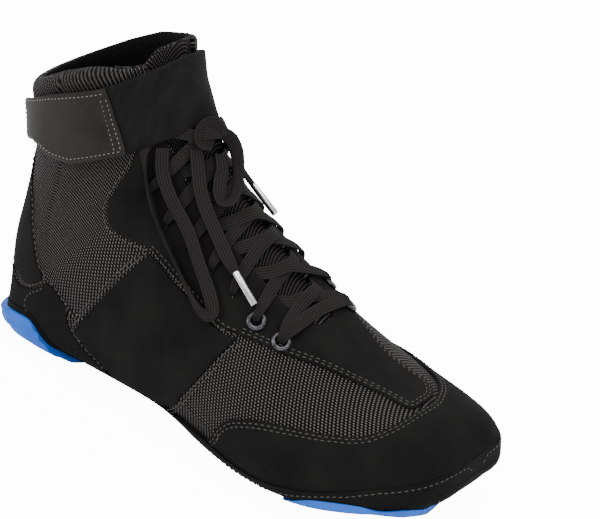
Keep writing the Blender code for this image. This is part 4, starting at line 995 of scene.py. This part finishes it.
def cloth(key):
    """The shoe's materials, each made once."""
    tone = bpy.context.scene.shoe_colours
    makers = {
        "suede": (suede, "microfibre_suede", tone.suede, "#191918"),
        # The meshes' first colour is their dark base, made near-black in the holes as painted shade
        "quarter": (spacer_mesh, "spacer_mesh", "#010101", ("#121212", "#63615e"), 2.0, 8.0),
        "collar": (spacer_mesh, "collar_mesh", "#010101", ("#111111", "#4c4a47"), 1.7, 20.0),
        "elastic": (webbing, "elastic_webbing", tone.strap, "#1d1d1c"),
        "leather": (grained, "grained_leather", tone.tab, "#232220"),
        "rand": (rubber, "black_gum_rubber", "#080808", "#141413", 0.7, 0.5, 0.25, 0.07),
        "blue": (rubber, "blue_gum_rubber", tone.rubber, "#1f68cf", 0.45, 0.35, 0.10, 0.22),
        "lining": (tricot, "tricot_lining", "#060606", "#121212"),
        "lace": (lace_cloth, "woven_lace", "#060606", "#2b2a29"),
        "thread": (thread_yarn, "sewing_thread", "#2a2a28", "#55534f"),
        "tab_thread": (thread_yarn, "strap_thread", "#504e4a", "#8b8882"),
        "gunmetal": (plated, "gunmetal_plate", "#2c2c2e", "#56565a", 0.34),
        "aglet": (plated, "polished_tip", "#b9b9b9", "#e4e4e4", 0.22),
        "paper": (stage_paper, "studio_paper", "#ffffff"),
    }
    if key not in MADE:
        maker, *details = makers[key]
        MADE[key] = maker(*details)
    return MADE[key]


class ShoeSizes(bpy.types.PropertyGroup):
    overlay: FloatProperty(name="Panel thickness", description="Thickness of the suede panels",
                           default=0.0010, unit="LENGTH")
    lace_width: FloatProperty(name="Lace width", description="Width of the flat lace",
                              default=0.0065, unit="LENGTH")
    lace_thickness: FloatProperty(name="Lace thickness", description="Thickness of the flat lace",
                                  default=0.0013, unit="LENGTH")
    stitch: FloatProperty(name="Stitch length", description="Length of one visible stitch",
                          default=0.0021, unit="LENGTH")
    eyelet: FloatProperty(name="Eyelet diameter", description="Outer diameter of the metal rings",
                          default=0.0095, unit="LENGTH")


class ShoeColours(bpy.types.PropertyGroup):
    suede: StringProperty(name="Suede", description="Dark tone of the suede, sRGB hex",
                          default="#0a0a0a")
    strap: StringProperty(name="Strap", description="Dark tone of the elastic, sRGB hex",
                          default="#0f0f0f")
    tab: StringProperty(name="Tab", description="Dark tone of the strap's leather, sRGB hex",
                        default="#131211")
    rubber: StringProperty(name="Outsole", description="Main tone of the outsole, sRGB hex",
                           default="#0f4fb0")


class ShoeUpper(bpy.types.Operator):
    """Knitted upper with its padded collar and lining"""
    bl_idname = "shoe.upper"
    bl_label = "Upper"

    def execute(self, context):
        stations = np.concatenate([np.linspace(0, 2, 18), np.linspace(2, 21.4, 144)[1:],
                                   np.linspace(21.4, 22.2, 12)[1:]])
        low_turns = np.linspace(SIDE_TURN, 180, 34)[1:]
        rows = []
        for station in stations:
            edge = degrees(throat_turn(station))
            side = np.concatenate([np.linspace(edge, SIDE_TURN, 44), low_turns])
            rows.append(np.concatenate([-side[::-1], np.linspace(-edge, edge, 7)[1:-1], side]))
        s, t = grid(stations, np.array(rows))
        back = np.clip((np.abs(t) - 36) / 26, 0, 1) ** 0.8
        rise = np.clip((s - ROLL_STATION) / 1.9, 0, 1)
        close = np.sqrt(np.maximum(0.0, 1 - np.clip((s - RIM_STATION) / 0.9, 0, 1) ** 2.4))
        pad = np.clip((s - PAD_STATION) / 1.6, 0, 1)
        outer = (2.0 * np.sin(rise * pi * 0.62) * close - 2.9 * (1 - close)) * back
        inner = -LINING_DEPTH - 4.4 * pad * back * close - 1.0 * (1 - close) * back
        inner = np.minimum(inner, outer - 0.8)
        middle_s = 0.25 * (s[:-1, :-1] + s[1:, :-1] + s[:-1, 1:] + s[1:, 1:])
        middle_t = np.abs(0.25 * (t[:-1, :-1] + t[1:, :-1] + t[:-1, 1:] + t[1:, 1:]))
        edge = np.interp(middle_s, stations, [degrees(throat_turn(v)) for v in stations])
        cloth_here = (middle_s < THROAT_START) | (middle_t > edge)
        cloth_here &= (middle_s > LASTING_STATION) | (middle_t < LASTING_TURN)
        full = np.zeros(s.shape, bool)
        full[:-1, :-1] = cloth_here
        slots = [cloth("quarter"), cloth("lining")]
        piece = wall("upper_cloth", dipped(s, t), t, grid_cells(s.shape, full),
                     (inner * MM).ravel(), (outer * MM).ravel(), slots, 1, 0)
        settle(piece, "upper")
        return {"FINISHED"}


class ShoeTongue(bpy.types.Operator):
    """Padded tongue with a folded top"""
    bl_idname = "shoe.tongue"
    bl_label = "Tongue"

    def execute(self, context):
        stations = np.concatenate([np.linspace(7, TONGUE_RIM_STATION, 106),
                                   np.linspace(TONGUE_RIM_STATION, 22.4, 9)[1:]])
        rows = []
        for station in stations:
            edge = degrees(throat_turn(station))
            rows.append(np.linspace(-1, 1, 49) * (edge + (SIDE_TURN - edge) / 3))
        s, t = grid(stations, np.array(rows))
        share = np.abs(t) / np.abs(t).max(1, keepdims=True)
        top = np.sqrt(np.maximum(0, 1 - np.clip((s - TONGUE_RIM_STATION) / 0.8, 0, 1) ** 3))
        puff = (1 - share ** 4) * top
        high = -2.6 + 0.5 * puff * np.clip((s - 8) / 2, 0, 1) - 1.1 * (1 - top)
        low = -4.4 - 1.8 * puff * np.clip((s - 15) / 4, 0, 1) + 0.6 * (1 - top)
        piece = wall("tongue_cloth", dipped(s, t), t, grid_cells(s.shape, np.ones(s.shape, bool)),
                     (low * MM).ravel(), (high * MM).ravel(), [cloth("collar"), cloth("lining")], 1)
        settle(piece, "tongue")
        return {"FINISHED"}


class ShoeInsole(bpy.types.Operator):
    """Insole board covered with the lining cloth"""
    bl_idname = "shoe.insole"
    bl_label = "Insole"

    def execute(self, context):
        turns = np.concatenate([-np.linspace(180, 122, 34), [0], np.linspace(122, 180, 34)])
        s, t = grid(np.linspace(1.9, LASTING_STATION, 90), turns)
        thick = np.interp(np.abs(t), [122, 141, 158], [0.6, 2.1, 2.8])
        keep = np.abs(t) > 121
        keep[:, 33] = False
        cells = grid_cells(s.shape, keep)
        piece = wall("insole_cloth", s, t, cells, ((-INSOLE_DEPTH - thick) * MM).ravel(),
                     -INSOLE_DEPTH * MM, [cloth("lining")], 0)
        settle(piece, "insole")
        return {"FINISHED"}


def side_block(name, line, height):
    """A cutter under a line of the side view, across the shoe."""
    shares = np.array(line, float)
    xs = np.linspace(shares[0, 0], shares[-1, 0], 70)
    place = np.interp(xs, shares[:, 0], np.arange(len(line)))
    xs = xs * LENGTH
    tops = between_rows(shares, place)[:, 1] * height + ground_curve(xs)
    outline = list(zip(xs, tops)) + [(xs[-1], -0.01), (xs[0], -0.01)]
    return prism(name, [(x, -0.12, z) for x, z in outline], [(x, 0.12, z) for x, z in outline])


def front_block(name, line):
    """A cutter ahead of a line of the plan view."""
    (x0, y0), (x1, y1) = ((x * LENGTH, y * BALL_WIDTH) for x, y in line)
    ahead = 1.2 * LENGTH
    outline = ((x0, y0), (x1, y1), (ahead, y1), (ahead, y0))
    return prism(name, [(x, y, -0.01) for x, y in outline], [(x, y, 0.09) for x, y in outline])


def prism(name, near, far):
    """A closed cutter between two matching outlines."""
    total = len(near)
    points = near + far
    faces = [list(range(total)), list(range(2 * total - 1, total - 1, -1))]
    for corner in range(total):
        after = (corner + 1) % total
        faces.append([corner, corner + total, after + total, after])
    block = make_object(name, np.array(points) + ANCHOR, faces, [])
    return tidy(block)


def carve(piece, cutter, operation):
    """Applies a boolean and removes its cutter."""
    change = piece.modifiers.new("cut", "BOOLEAN")
    change.object = cutter
    change.operation = operation
    change.solver = "EXACT"
    bpy.context.view_layer.objects.active = piece
    bpy.ops.object.modifier_apply(modifier=change.name)
    bpy.data.objects.remove(cutter, do_unlink=True)
    return piece


def rand_outside(station, turn):
    """Lift in mm of the rand's outer face, which swells low on the forefoot's sides."""
    side = np.interp(np.abs(turn), *SWELL_TURNS) * np.interp(station, *SWELL_STATIONS)
    return RAND_FACE + RAND_SWELL * side


def pod_outside(turn):
    """Lift in mm of a pad's outer face, thin up its sides and full under the foot."""
    return POD_FACE + POD_TREAD * np.interp(np.abs(turn), *POD_TURNS)


def sole_shell(name, stations, low_turn, low, high, slots):
    """A dense layer under and round the foot, from one side's turn to the other's."""
    turns = np.concatenate([-np.linspace(180, low_turn, 70), [0], np.linspace(low_turn, 180, 70)])
    s, t = grid(stations, turns)
    keep = np.ones(s.shape, bool)
    keep[:, 69:71] = (s[:, 69:71] < 1.25)
    return wall(name, s, t, grid_cells(s.shape, keep), (low(s, t) * MM).ravel(),
                (high(s, t) * MM).ravel(), slots)


def above_floor(piece):
    """Cuts what lies under the floor, and closes the cut."""
    bpy.ops.mesh.primitive_cube_add(size=1, location=(0, 0, -0.05))
    block = bpy.context.active_object
    block.data.transform(Matrix.Translation((0, 0, -0.05)) @ Matrix.Diagonal((0.6, 0.4, 0.1, 1)))
    block.location = (0, 0, 0)
    return carve(piece, block, "DIFFERENCE")


class ShoeSole(bpy.types.Operator):
    """Black rand and the two ribbed outsole pads"""
    bl_idname = "shoe.sole"
    bl_label = "Sole"

    def execute(self, context):
        def at_mm(s, t):
            """Millimetres along the shoe, and up from the ground's curve."""
            point = skin(s, np.radians(t))
            return point[..., 0] / MM, (point[..., 2] - ground_curve(point[..., 0])) / MM

        def rand_skin(s, t):
            """Outer lift of the rand, with the wavy groove round its forefoot."""
            along, height = at_mm(s, t)
            wave = np.sin((along + 1.5 * np.sin(along / 7)) * 2 * pi / 9)
            groove = np.exp(-((height - 7.5 - 0.9 * wave) / 0.8) ** 2)
            return rand_outside(s, t) - 0.5 * groove * (s < 10.5) * (np.abs(t) < 140)
        front = np.concatenate([np.linspace(0, 3, 36), np.linspace(3, 17.2, 150)[1:]])
        rand = sole_shell("rand_rubber", front, 64, lambda s, t: 0.25 + 0 * s, rand_skin,
                          [cloth("rand")])
        carve(rand, side_block("rand_line", RAND_LINE, RAND_HEIGHT), "INTERSECT")
        settle(tidy(rand, sharp=35), "midsole")

        def under(s, t):
            """Inner lift of a pad, just over the rand."""
            return rand_outside(s, t) + 0.2

        def ribs(s, t):
            """Outer lift of a pad, with the swept ribs on its sides."""
            along, height = at_mm(s, t)
            sweep = height - 3.0 * np.sin((along - 20) / 40)
            rib = np.clip(1.6 * np.cos(sweep * 2 * pi / 4.2), -1, 1)
            return pod_outside(t) + (0.42 * rib - 0.25) * np.clip((146 - np.abs(t)) / 8, 0, 1)
        heel = sole_shell("heel_rubber", np.linspace(11.9, 17.9, 170), 80, under, ribs,
                          [cloth("blue")])
        carve(heel, side_block("heel_line", HEEL_POD_LINE, HEEL_POD_HEIGHT), "INTERSECT")
        above_floor(heel)
        settle(tidy(heel, sharp=35), "outsole_heel")

        fore = sole_shell("forefoot_rubber", np.concatenate([np.linspace(0, 3, 40),
                          np.linspace(3, 10.9, 100)[1:]]), 78, under, ribs, [cloth("blue")])
        carve(fore, side_block("fore_line", FOREFOOT_POD_LINE, FOREFOOT_POD_HEIGHT), "INTERSECT")
        carve(fore, front_block("fore_front", FOREFOOT_POD_FRONT), "DIFFERENCE")
        above_floor(fore)
        settle(tidy(fore, sharp=35), "outsole_forefoot")
        return {"FINISHED"}


def mirror(run):
    """A run on the other side of the shoe."""
    return [(station, -turn) for station, turn in run]


def far_side(run):
    """A run mirrored about the heel, from its far end."""
    return [(station, 360 - turn) for station, turn in reversed(run)]


class ShoePanels(bpy.types.Operator):
    """Suede panels with their stitching"""
    bl_idname = "shoe.panels"
    bl_label = "Panels"

    def execute(self, context):
        slots = [cloth("suede")]
        thick = context.scene.shoe_sizes.overlay / MM
        edge = [p for p in TOE_CAP_EDGE if abs(p[1]) < 120]
        under = ((9.3, -108), (6.5, -106), (3.2, -104), (1.6, -112), (1.1, -150), (1.0, -180),
                 (1.1, -210), (1.6, -248), (3.2, -256), (6.5, -254), (9.3, -252))
        cap = panel("toe_cap_suede", (edge, under), slots, 0.35, thick + 0.1, polar=True)
        settle(cap, "toe_cap")
        holes = []
        for row, (station, turn) in enumerate(LACING):
            width = RINGED_HOLE if row < RINGED_ROWS else PLAIN_HOLE
            holes += [(station, turn, width), (station, -turn, width)]
        lobe, seam = mirror(EYESTAY_LOBE), mirror(EYESTAY_SEAM)
        inner = []
        for station in (20.2, 19, 17, 15, 13, 11, 9.5, 8.7, 8.35):
            inner.append((station, degrees(throat_turn(station)) + 0.6))
        throat = inner + [(8.12, 6), (8.08, 0), (8.12, -6)] + mirror(inner)[::-1]
        runs = (VAMP_EDGE, seam[::-1], lobe, (lobe[-1], throat[-1]), throat[::-1],
                (throat[0], EYESTAY_LOBE[-1]), EYESTAY_LOBE[::-1], EYESTAY_SEAM)
        stay = panel("eyestay_suede", runs, slots, 0.2, thick, holes=holes)
        settle(stay, "eyestay")
        for name, outline in (("lateral", SADDLE), ("medial", [mirror(r) for r in SADDLE])):
            piece = panel(f"saddle_{name}_suede", outline, slots, 0.3, thick)
            settle(piece, f"saddle_{name}")
        below = (far_side(FOXING_SIDE)[-1], (FOXING_SIDE[0][0], 180), FOXING_SIDE[0])
        top = list(FOXING_TOP) + far_side(FOXING_TOP[:-1])
        foxing = panel("heel_foxing_suede", (FOXING_SIDE, top, far_side(FOXING_SIDE), below),
                       slots, 0.3, thick)
        settle(foxing, "heel_foxing")
        foot = list(STAY_FOOT) + far_side(STAY_FOOT[:-1])
        over = (far_side(STAY_EDGE)[-1], (STAY_EDGE[0][0] + 0.1, 180), STAY_EDGE[0])
        stay = panel("back_stay_suede", (foot, far_side(STAY_EDGE), over, STAY_EDGE), slots, 0.2,
                     thick * 0.9)
        settle(stay, "back_stay")
        rows = []

        def sew(run, distances, lift):
            """Adds rows of stitches beside an edge, at distances in mm."""
            line = dense_run(run)
            for distance in distances:
                rows.append((inset(line, distance, closed=False), lift))
        lift = 0.3 + thick + 0.12
        sew(edge, (-1.6, -3.4), lift + 0.1)
        for side in (1, -1):
            turn = (lambda run: list(run)) if side > 0 else mirror
            sew(turn(SADDLE[4]), (-1.6 * side, -3.4 * side), lift)
            sew(turn(SADDLE[1]), (-1.6 * side, -3.4 * side), lift)
            sew(turn(SADDLE[0]), (-1.5 * side,), lift)
            sew(turn(EYESTAY_LOBE), (1.5 * side,), lift - 0.1)
            sew(turn(EYESTAY_SEAM), (1.5 * side,), lift - 0.1)
            sew(turn(STAY_EDGE), (1.6 * side,), lift - 0.2)
            sew(turn(FOXING_SIDE), (-1.6 * side,), lift)
        sew(top, (-1.6,), lift)
        sew(VAMP_EDGE, (1.5, 3.2), lift - 0.1)
        sew(HEEL_CURL, (0.0,), lift)
        for side in (1, -1):
            line = self.under_rand_edge(np.linspace(0.4, 9.3, 160), side, 2.0)
            rows.append((line, rand_outside(line[:, 0], line[:, 1]) + 0.12))
        length = round(context.scene.shoe_sizes.stitch / MM, 3)
        stitch_rows("panel_stitching", rows, 0.55, [cloth("thread")], length, 0.9)
        return {"FINISHED"}

    def under_rand_edge(self, stations, side, drop):
        """Places on the rand, drop mm under its upper edge."""
        turns = np.linspace(40, 150, 221)
        s, t = np.meshgrid(stations, turns, indexing="ij")
        spots = skin(s, np.radians(t))
        height = spots[..., 2] - ground_curve(spots[..., 0])
        shares = np.array(RAND_LINE, float)
        edge = np.interp(spots[..., 0] / LENGTH, shares[:, 0], shares[:, 1]) * RAND_HEIGHT
        at = np.abs(height - edge + drop * MM).argmin(1)
        return np.stack([stations, side * turns[at]], 1)


def strap_edges(turn):
    """Lower and upper stations of the strap."""
    at = np.abs((np.asarray(turn, float) + 180) % 360 - 180)
    table = np.array(STRAP_EDGES, float)
    return np.interp(at, table[:, 0], table[:, 1]), np.interp(at, table[:, 0], table[:, 2])


def strap_places(span, slant, turns, shares):
    """Places at shares of the strap's height; slant leans those near the span's first end."""
    turns = turns + slant * (shares - 0.5) * (turns - span[1]) / (span[0] - span[1])
    low, high = strap_edges(turns)
    return low + (high - low) * shares, turns


def strap_length(name, span, lift, thick, slots, ends=(0.0, 0.0), slant=0.0):
    """A length of the strap; ends are its corner radii in mm, slant leans its first end."""
    count = int(abs(span[1] - span[0]) / 1.4) + 1
    turns = np.linspace(span[0], span[1], count)
    low, high = strap_edges(turns)
    middle = skin((low + high) / 2, np.radians(turns))
    run = travelled(middle) / MM
    shrink = np.zeros(count)
    for radius, distance in ((ends[0], run), (ends[1], run[-1] - run)):
        inside_corner = np.clip(radius - distance, 0, radius)
        shrink += radius - np.sqrt(np.maximum(radius ** 2 - inside_corner ** 2, 0))
    way = skin(high, np.radians(turns)) - skin(low, np.radians(turns))
    width = np.linalg.norm(way, axis=1) / MM
    share = np.concatenate([[0, 0.008, 0.025], np.linspace(0.05, 0.95, 25), [0.975, 0.992, 1]])
    cut = (shrink / width)[:, None]
    across = cut + (1 - 2 * cut) * share[None]
    s, t = strap_places(span, slant, turns[:, None], across)
    slack = 2.0 * np.exp(-(t / 25) ** 2) * (1 + 0.12 * np.sin(across * pi * 2.2))
    edge = np.minimum(across - cut, 1 - cut - across) * width[:, None]
    end = np.minimum(run, run[-1] - run)[:, None]
    round_off = np.exp(-np.minimum(edge, np.where(end > 0, end, 0)) / 0.5) * 0.42 * thick
    ripple = 0.18 * np.sin(t / 9.0 + 2 * across) * np.sin(across * pi)
    outer = lift + slack + thick - round_off + ripple
    return wall(name, s, t, grid_cells(s.shape, np.ones(s.shape, bool)),
                ((lift + slack) * MM).ravel(), (outer * MM).ravel(), slots)


class ShoeStrap(bpy.types.Operator):
    """Elastic ankle strap with its leather tab and anchor"""
    bl_idname = "shoe.strap"
    bl_label = "Strap"

    def execute(self, context):
        back = ANCHOR_SPAN[::-1]
        for name, node_name, span, lift, key, ends, slant in (
                ("strap_webbing", "strap_elastic", ELASTIC_SPAN, 2.0, "elastic", (0.0, 0.0), 0.0),
                ("strap_anchor_leather", "strap_anchor", back, 2.0, "leather", (0.0, 6.0), 0.0),
                ("strap_tab_leather", "strap_tab", TAB_SPAN, 3.9, "leather", (0.0, 7.0),
                 TAB_SLANT)):
            length = strap_length(name, span, lift, STRAP_THICKNESS, [cloth(key)], ends, slant)
            settle(length, node_name)
        rows = []
        for span, lift, slant in ((TAB_SPAN, 5.5, TAB_SLANT), (back, 3.6, 0.0)):
            sign = 1 if span[1] > span[0] else -1
            turns = np.linspace(span[0] + sign * 2.2, span[1] - sign * 5.5, 60)
            lines = [(turns, share) for share in (0.065, 0.935)]
            for turn in (span[0] + sign * 2.0, span[0] + sign * 5.4, span[1] - sign * 4.0):
                lines.append((turn, np.linspace(0.08, 0.92, 40)))
            for turns, shares in lines:
                rows.append((np.stack(strap_places(span, slant, turns, shares), 1), lift))
        stitch_rows("strap_stitching", rows, 0.5, [cloth("tab_thread")], 1.5, 0.8)
        return {"FINISHED"}


class ShoeEyelets(bpy.types.Operator):
    """Rolled metal eyelets"""
    bl_idname = "shoe.eyelets"
    bl_label = "Eyelets"

    def execute(self, context):
        wide = context.scene.shoe_sizes.eyelet
        for row in range(RINGED_ROWS):
            for side, sign in (("lateral", 1), ("medial", -1)):
                bpy.ops.object.select_all(action="DESELECT")
                bpy.ops.mesh.primitive_torus_add(major_radius=wide / 2 - RING_WIRE,
                                                 minor_radius=RING_WIRE, major_segments=40,
                                                 minor_segments=14)
                ring = bpy.context.active_object
                for vert in ring.data.vertices:
                    vert.co.z = vert.co.z * 0.75 + 0.0003
                bpy.ops.mesh.primitive_cylinder_add(vertices=40, radius=wide / 2 - 0.0022,
                                                    depth=BARREL_DEPTH, end_fill_type="NOTHING",
                                                    location=(0, 0, -0.0011))
                barrel = bpy.context.active_object
                barrel.data.transform(Matrix.Translation(barrel.location))
                barrel.location = (0, 0, 0)
                thick = barrel.modifiers.new("wall", "SOLIDIFY")
                thick.thickness = BARREL_WALL
                bpy.ops.object.modifier_apply(modifier="wall")
                ring = join(f"eyelet_ring_{side}_{row + 1}", [ring, barrel])
                ring.data.materials.clear()
                ring.data.materials.append(cloth("gunmetal"))
                station, turn = LACING[row]
                turn_to_skin(ring, station, sign * turn, 1.55)
                ring.data.shade_smooth()
                settle(ring, f"eyelet_{side}_{row + 1}")
        return {"FINISHED"}


def lace_size():
    """The lace's width and thickness in mm."""
    sizes = bpy.context.scene.shoe_sizes
    return sizes.lace_width / MM, sizes.lace_thickness / MM


class ShoeLacing(bpy.types.Operator):
    """Flat lace, crossed up the throat through its eyelets"""
    bl_idname = "shoe.lacing"
    bl_label = "Lacing"

    def execute(self, context):
        width, thick = lace_size()
        slots = [cloth("lace")]
        runs = []
        s0, t0 = LACING[0]
        route = [(s0, t0, -1.0, 0, 1), (s0, t0 - 1.5, 2.6, 0, 0.9), (s0, t0 - 9, 3.2, 0, 0.2),
                 (s0, 8, 2.4, 0, 0), (s0, 0, 2.2, 0, 0), (s0, -8, 2.4, 0, 0),
                 (s0, -t0 + 9, 3.2, 0, 0.2), (s0, -t0 + 1.5, 2.6, 0, 0.9), (s0, -t0, -1.0, 0, 1)]
        runs.append(route)
        for row in range(len(LACING) - 1):
            (s0, t0), (s1, t1) = LACING[row], LACING[row + 1]
            ring = 1.3 if row < RINGED_ROWS else 0.0
            for sign in (1, -1):
                over = 1.35 if (sign > 0) == (row % 2 == 0) else 0.1
                edge = degrees(throat_turn(s1))
                route = [(s0, sign * t0, -1.2, 0, 1),
                         (s0 + 0.06, sign * (t0 - 1.5), 1.9 + ring, 0, 0.9),
                         (s0 + 0.18, sign * (t0 - 8), 2.3 + ring * 0.6, 0, 0.25)]
                for share in (0.35, 0.5, 0.65):
                    at = sign * (t0 - (t0 + t1) * share)
                    lift = 0.9 + over * np.exp(-((share - 0.5) / 0.14) ** 2)
                    route.append((s0 + (s1 - s0) * (0.15 + 0.75 * share), at, lift, 0, 0))
                route.append((s1 - 0.1, -sign * (edge + 1.0), 0.1, 0, 0))
                route.append((s1, -sign * (edge + 5), -1.4, 0, 0))
                runs.append(route)
        for sign in (1, -1):
            s0, t0 = LACING[-1]
            runs.append([(s0, sign * t0, -1.2, 0, 1), (s0 + 0.05, sign * (t0 - 2), 2.1, 0, 0.9),
                         (s0 + 0.25, sign * 28, 2.6, 0, 0.2), (s0 + 0.5, sign * 17 + 1, 3.2, 0, 0.1),
                         (s0 + 0.68, sign * 7 + 3, 4.6, 0, 0.3)])
        pieces = [lace_ribbon(f"lace_run_{number}", route, slots, width, thick)[0]
                  for number, route in enumerate(runs)]
        laces = join("lace_lacing", pieces)
        settle(laces, "lace_crossings")
        return {"FINISHED"}


class ShoeBow(bpy.types.Operator):
    """Bow with its wrapped knot, two loops and two tipped ends"""
    bl_idname = "shoe.bow"
    bl_label = "Bow"

    def execute(self, context):
        width, thick = lace_size()
        slots = [cloth("lace")]
        angles = np.linspace(radians(-70), radians(215), 9)
        ring = [(15.95 + 0.55 * sin(a), 4 + 7.0 * cos(a), 7.6 + 1.2 * sin(a), 26, 0.15)
                for a in angles]
        wraps = [lace_ribbon(f"knot_wrap_{number}", route, slots, width, thick)[0]
                 for number, route in enumerate((ring, *KNOT_WRAPS), 1)]
        knot = join("bow_knot", wraps)
        settle(knot, "lace_knot")
        for name, route, nodes, tip in BOW:
            strand, path = lace_ribbon(name, route, slots, width, thick)
            settle(strand, nodes)
            with_pieces = [self.tip(tip, path)] if tip else []
        return {"FINISHED"}

    def tip(self, name, path):
        """A metal tip with bevelled edges on the end of a path."""
        heading = Vector(path[-1] - path[-3]).normalized()
        bpy.ops.object.select_all(action="DESELECT")
        bpy.ops.mesh.primitive_cylinder_add(vertices=20, radius=TIP_RADIUS, depth=TIP_LENGTH)
        tip = bpy.context.active_object
        bpy.ops.object.mode_set(mode="EDIT")
        bpy.ops.mesh.select_all(action="SELECT")
        bpy.ops.mesh.bevel(offset=0.0005, segments=2)
        bpy.ops.object.mode_set(mode="OBJECT")
        place = Matrix.Translation(Vector(path[-1]) + heading * (TIP_LENGTH / 2 - 0.0005))
        tip.data.transform(place @ heading.to_track_quat("Z", "Y").to_matrix().to_4x4())
        tip.name = tip.data.name = name + "_tip"
        tip.data.materials.append(cloth("aglet"))
        tip.data.shade_smooth()
        tip.data.set_sharp_from_angle(angle=radians(40))
        return settle(tip, name)


class ShoeStage(bpy.types.Operator):
    """Paper floor, soft lights and the camera"""
    bl_idname = "shoe.stage"
    bl_label = "Stage"

    def execute(self, context):
        bpy.ops.object.select_all(action="DESELECT")
        bpy.ops.mesh.primitive_plane_add(size=FLOOR_SIZE, location=(0, 0, FLOOR_LEVEL))
        floor = bpy.context.active_object
        floor.name = "paper_floor"
        floor.data.materials.append(cloth("paper"))
        lit = bpy.data.collections.new("lit_by_paper")
        lit.objects.link(floor)
        floor.light_linking.receiver_collection = lit
        world = bpy.data.worlds.new("studio")
        context.scene.world = world
        world.use_nodes = True
        sky = world.node_tree.nodes["Background"]
        sky.inputs["Color"].default_value = (1, 1, 1, 1)
        sky.inputs["Strength"].default_value = WORLD_STRENGTH
        for name, place, size, power in LIGHTS:
            lamp = bpy.data.lights.new(name, "AREA")
            lamp.shape = "RECTANGLE"
            lamp.size, lamp.size_y = size
            lamp.energy = power
            holder = bpy.data.objects.new(name, lamp)
            holder.location = place
            away = Vector(place) - Vector(LAMP_TARGET)
            holder.rotation_euler = away.to_track_quat("Z", "Y").to_euler()
            context.scene.collection.objects.link(holder)
        camera = bpy.data.cameras.new("photo_camera")
        eye = bpy.data.objects.new("photo_camera", camera)
        context.scene.collection.objects.link(eye)
        azimuth, elevation, roll = (radians(v) for v in VIEW_ANGLES)
        back = Vector((sin(azimuth) * cos(elevation), -cos(azimuth) * cos(elevation),
                       sin(elevation)))
        eye.location = Vector(VIEW_TARGET) + back * VIEW_DISTANCE
        turn = back.to_track_quat("Z", "Y").to_matrix().to_4x4()
        eye.rotation_euler = (turn @ Matrix.Rotation(roll, 4, "Z")).to_euler()
        wide, high = PHOTO_SIZE
        camera.sensor_width = SENSOR
        camera.lens = VIEW_FOCAL / wide * SENSOR
        camera.shift_x = (wide / 2 - VIEW_CENTRE[0]) / wide
        camera.shift_y = (VIEW_CENTRE[1] - high / 2) / wide
        camera.clip_end = 20
        context.scene.camera = eye
        return {"FINISHED"}


class ShoePanel(bpy.types.Panel):
    """Sizes, colours and pieces of the shoe"""
    bl_idname = "VIEW3D_PT_shoe"
    bl_label = "Shoe"
    bl_space_type = "VIEW_3D"
    bl_region_type = "UI"
    bl_category = "Shoe"

    def draw(self, context):
        for group in (context.scene.shoe_sizes, context.scene.shoe_colours):
            for key in group.__annotations__:
                self.layout.prop(group, key)
        for piece in PIECES:
            self.layout.operator(piece.bl_idname)


PIECES = (ShoeUpper, ShoeTongue, ShoeInsole, ShoeSole, ShoePanels, ShoeStrap, ShoeEyelets,
          ShoeLacing, ShoeBow, ShoeStage)


def register():
    for kind in (ShoeSizes, ShoeColours, *PIECES, ShoePanel):
        bpy.utils.register_class(kind)
    bpy.types.Scene.shoe_sizes = PointerProperty(type=ShoeSizes)
    bpy.types.Scene.shoe_colours = PointerProperty(type=ShoeColours)


def unregister():
    del bpy.types.Scene.shoe_colours
    del bpy.types.Scene.shoe_sizes
    for kind in (ShoePanel, *PIECES[::-1], ShoeColours, ShoeSizes):
        bpy.utils.unregister_class(kind)


def main():
    register()
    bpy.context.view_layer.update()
    for piece in PIECES:
        getattr(bpy.ops.shoe, piece.bl_idname.split(".")[1])()


if __name__ == "__main__":
    main()
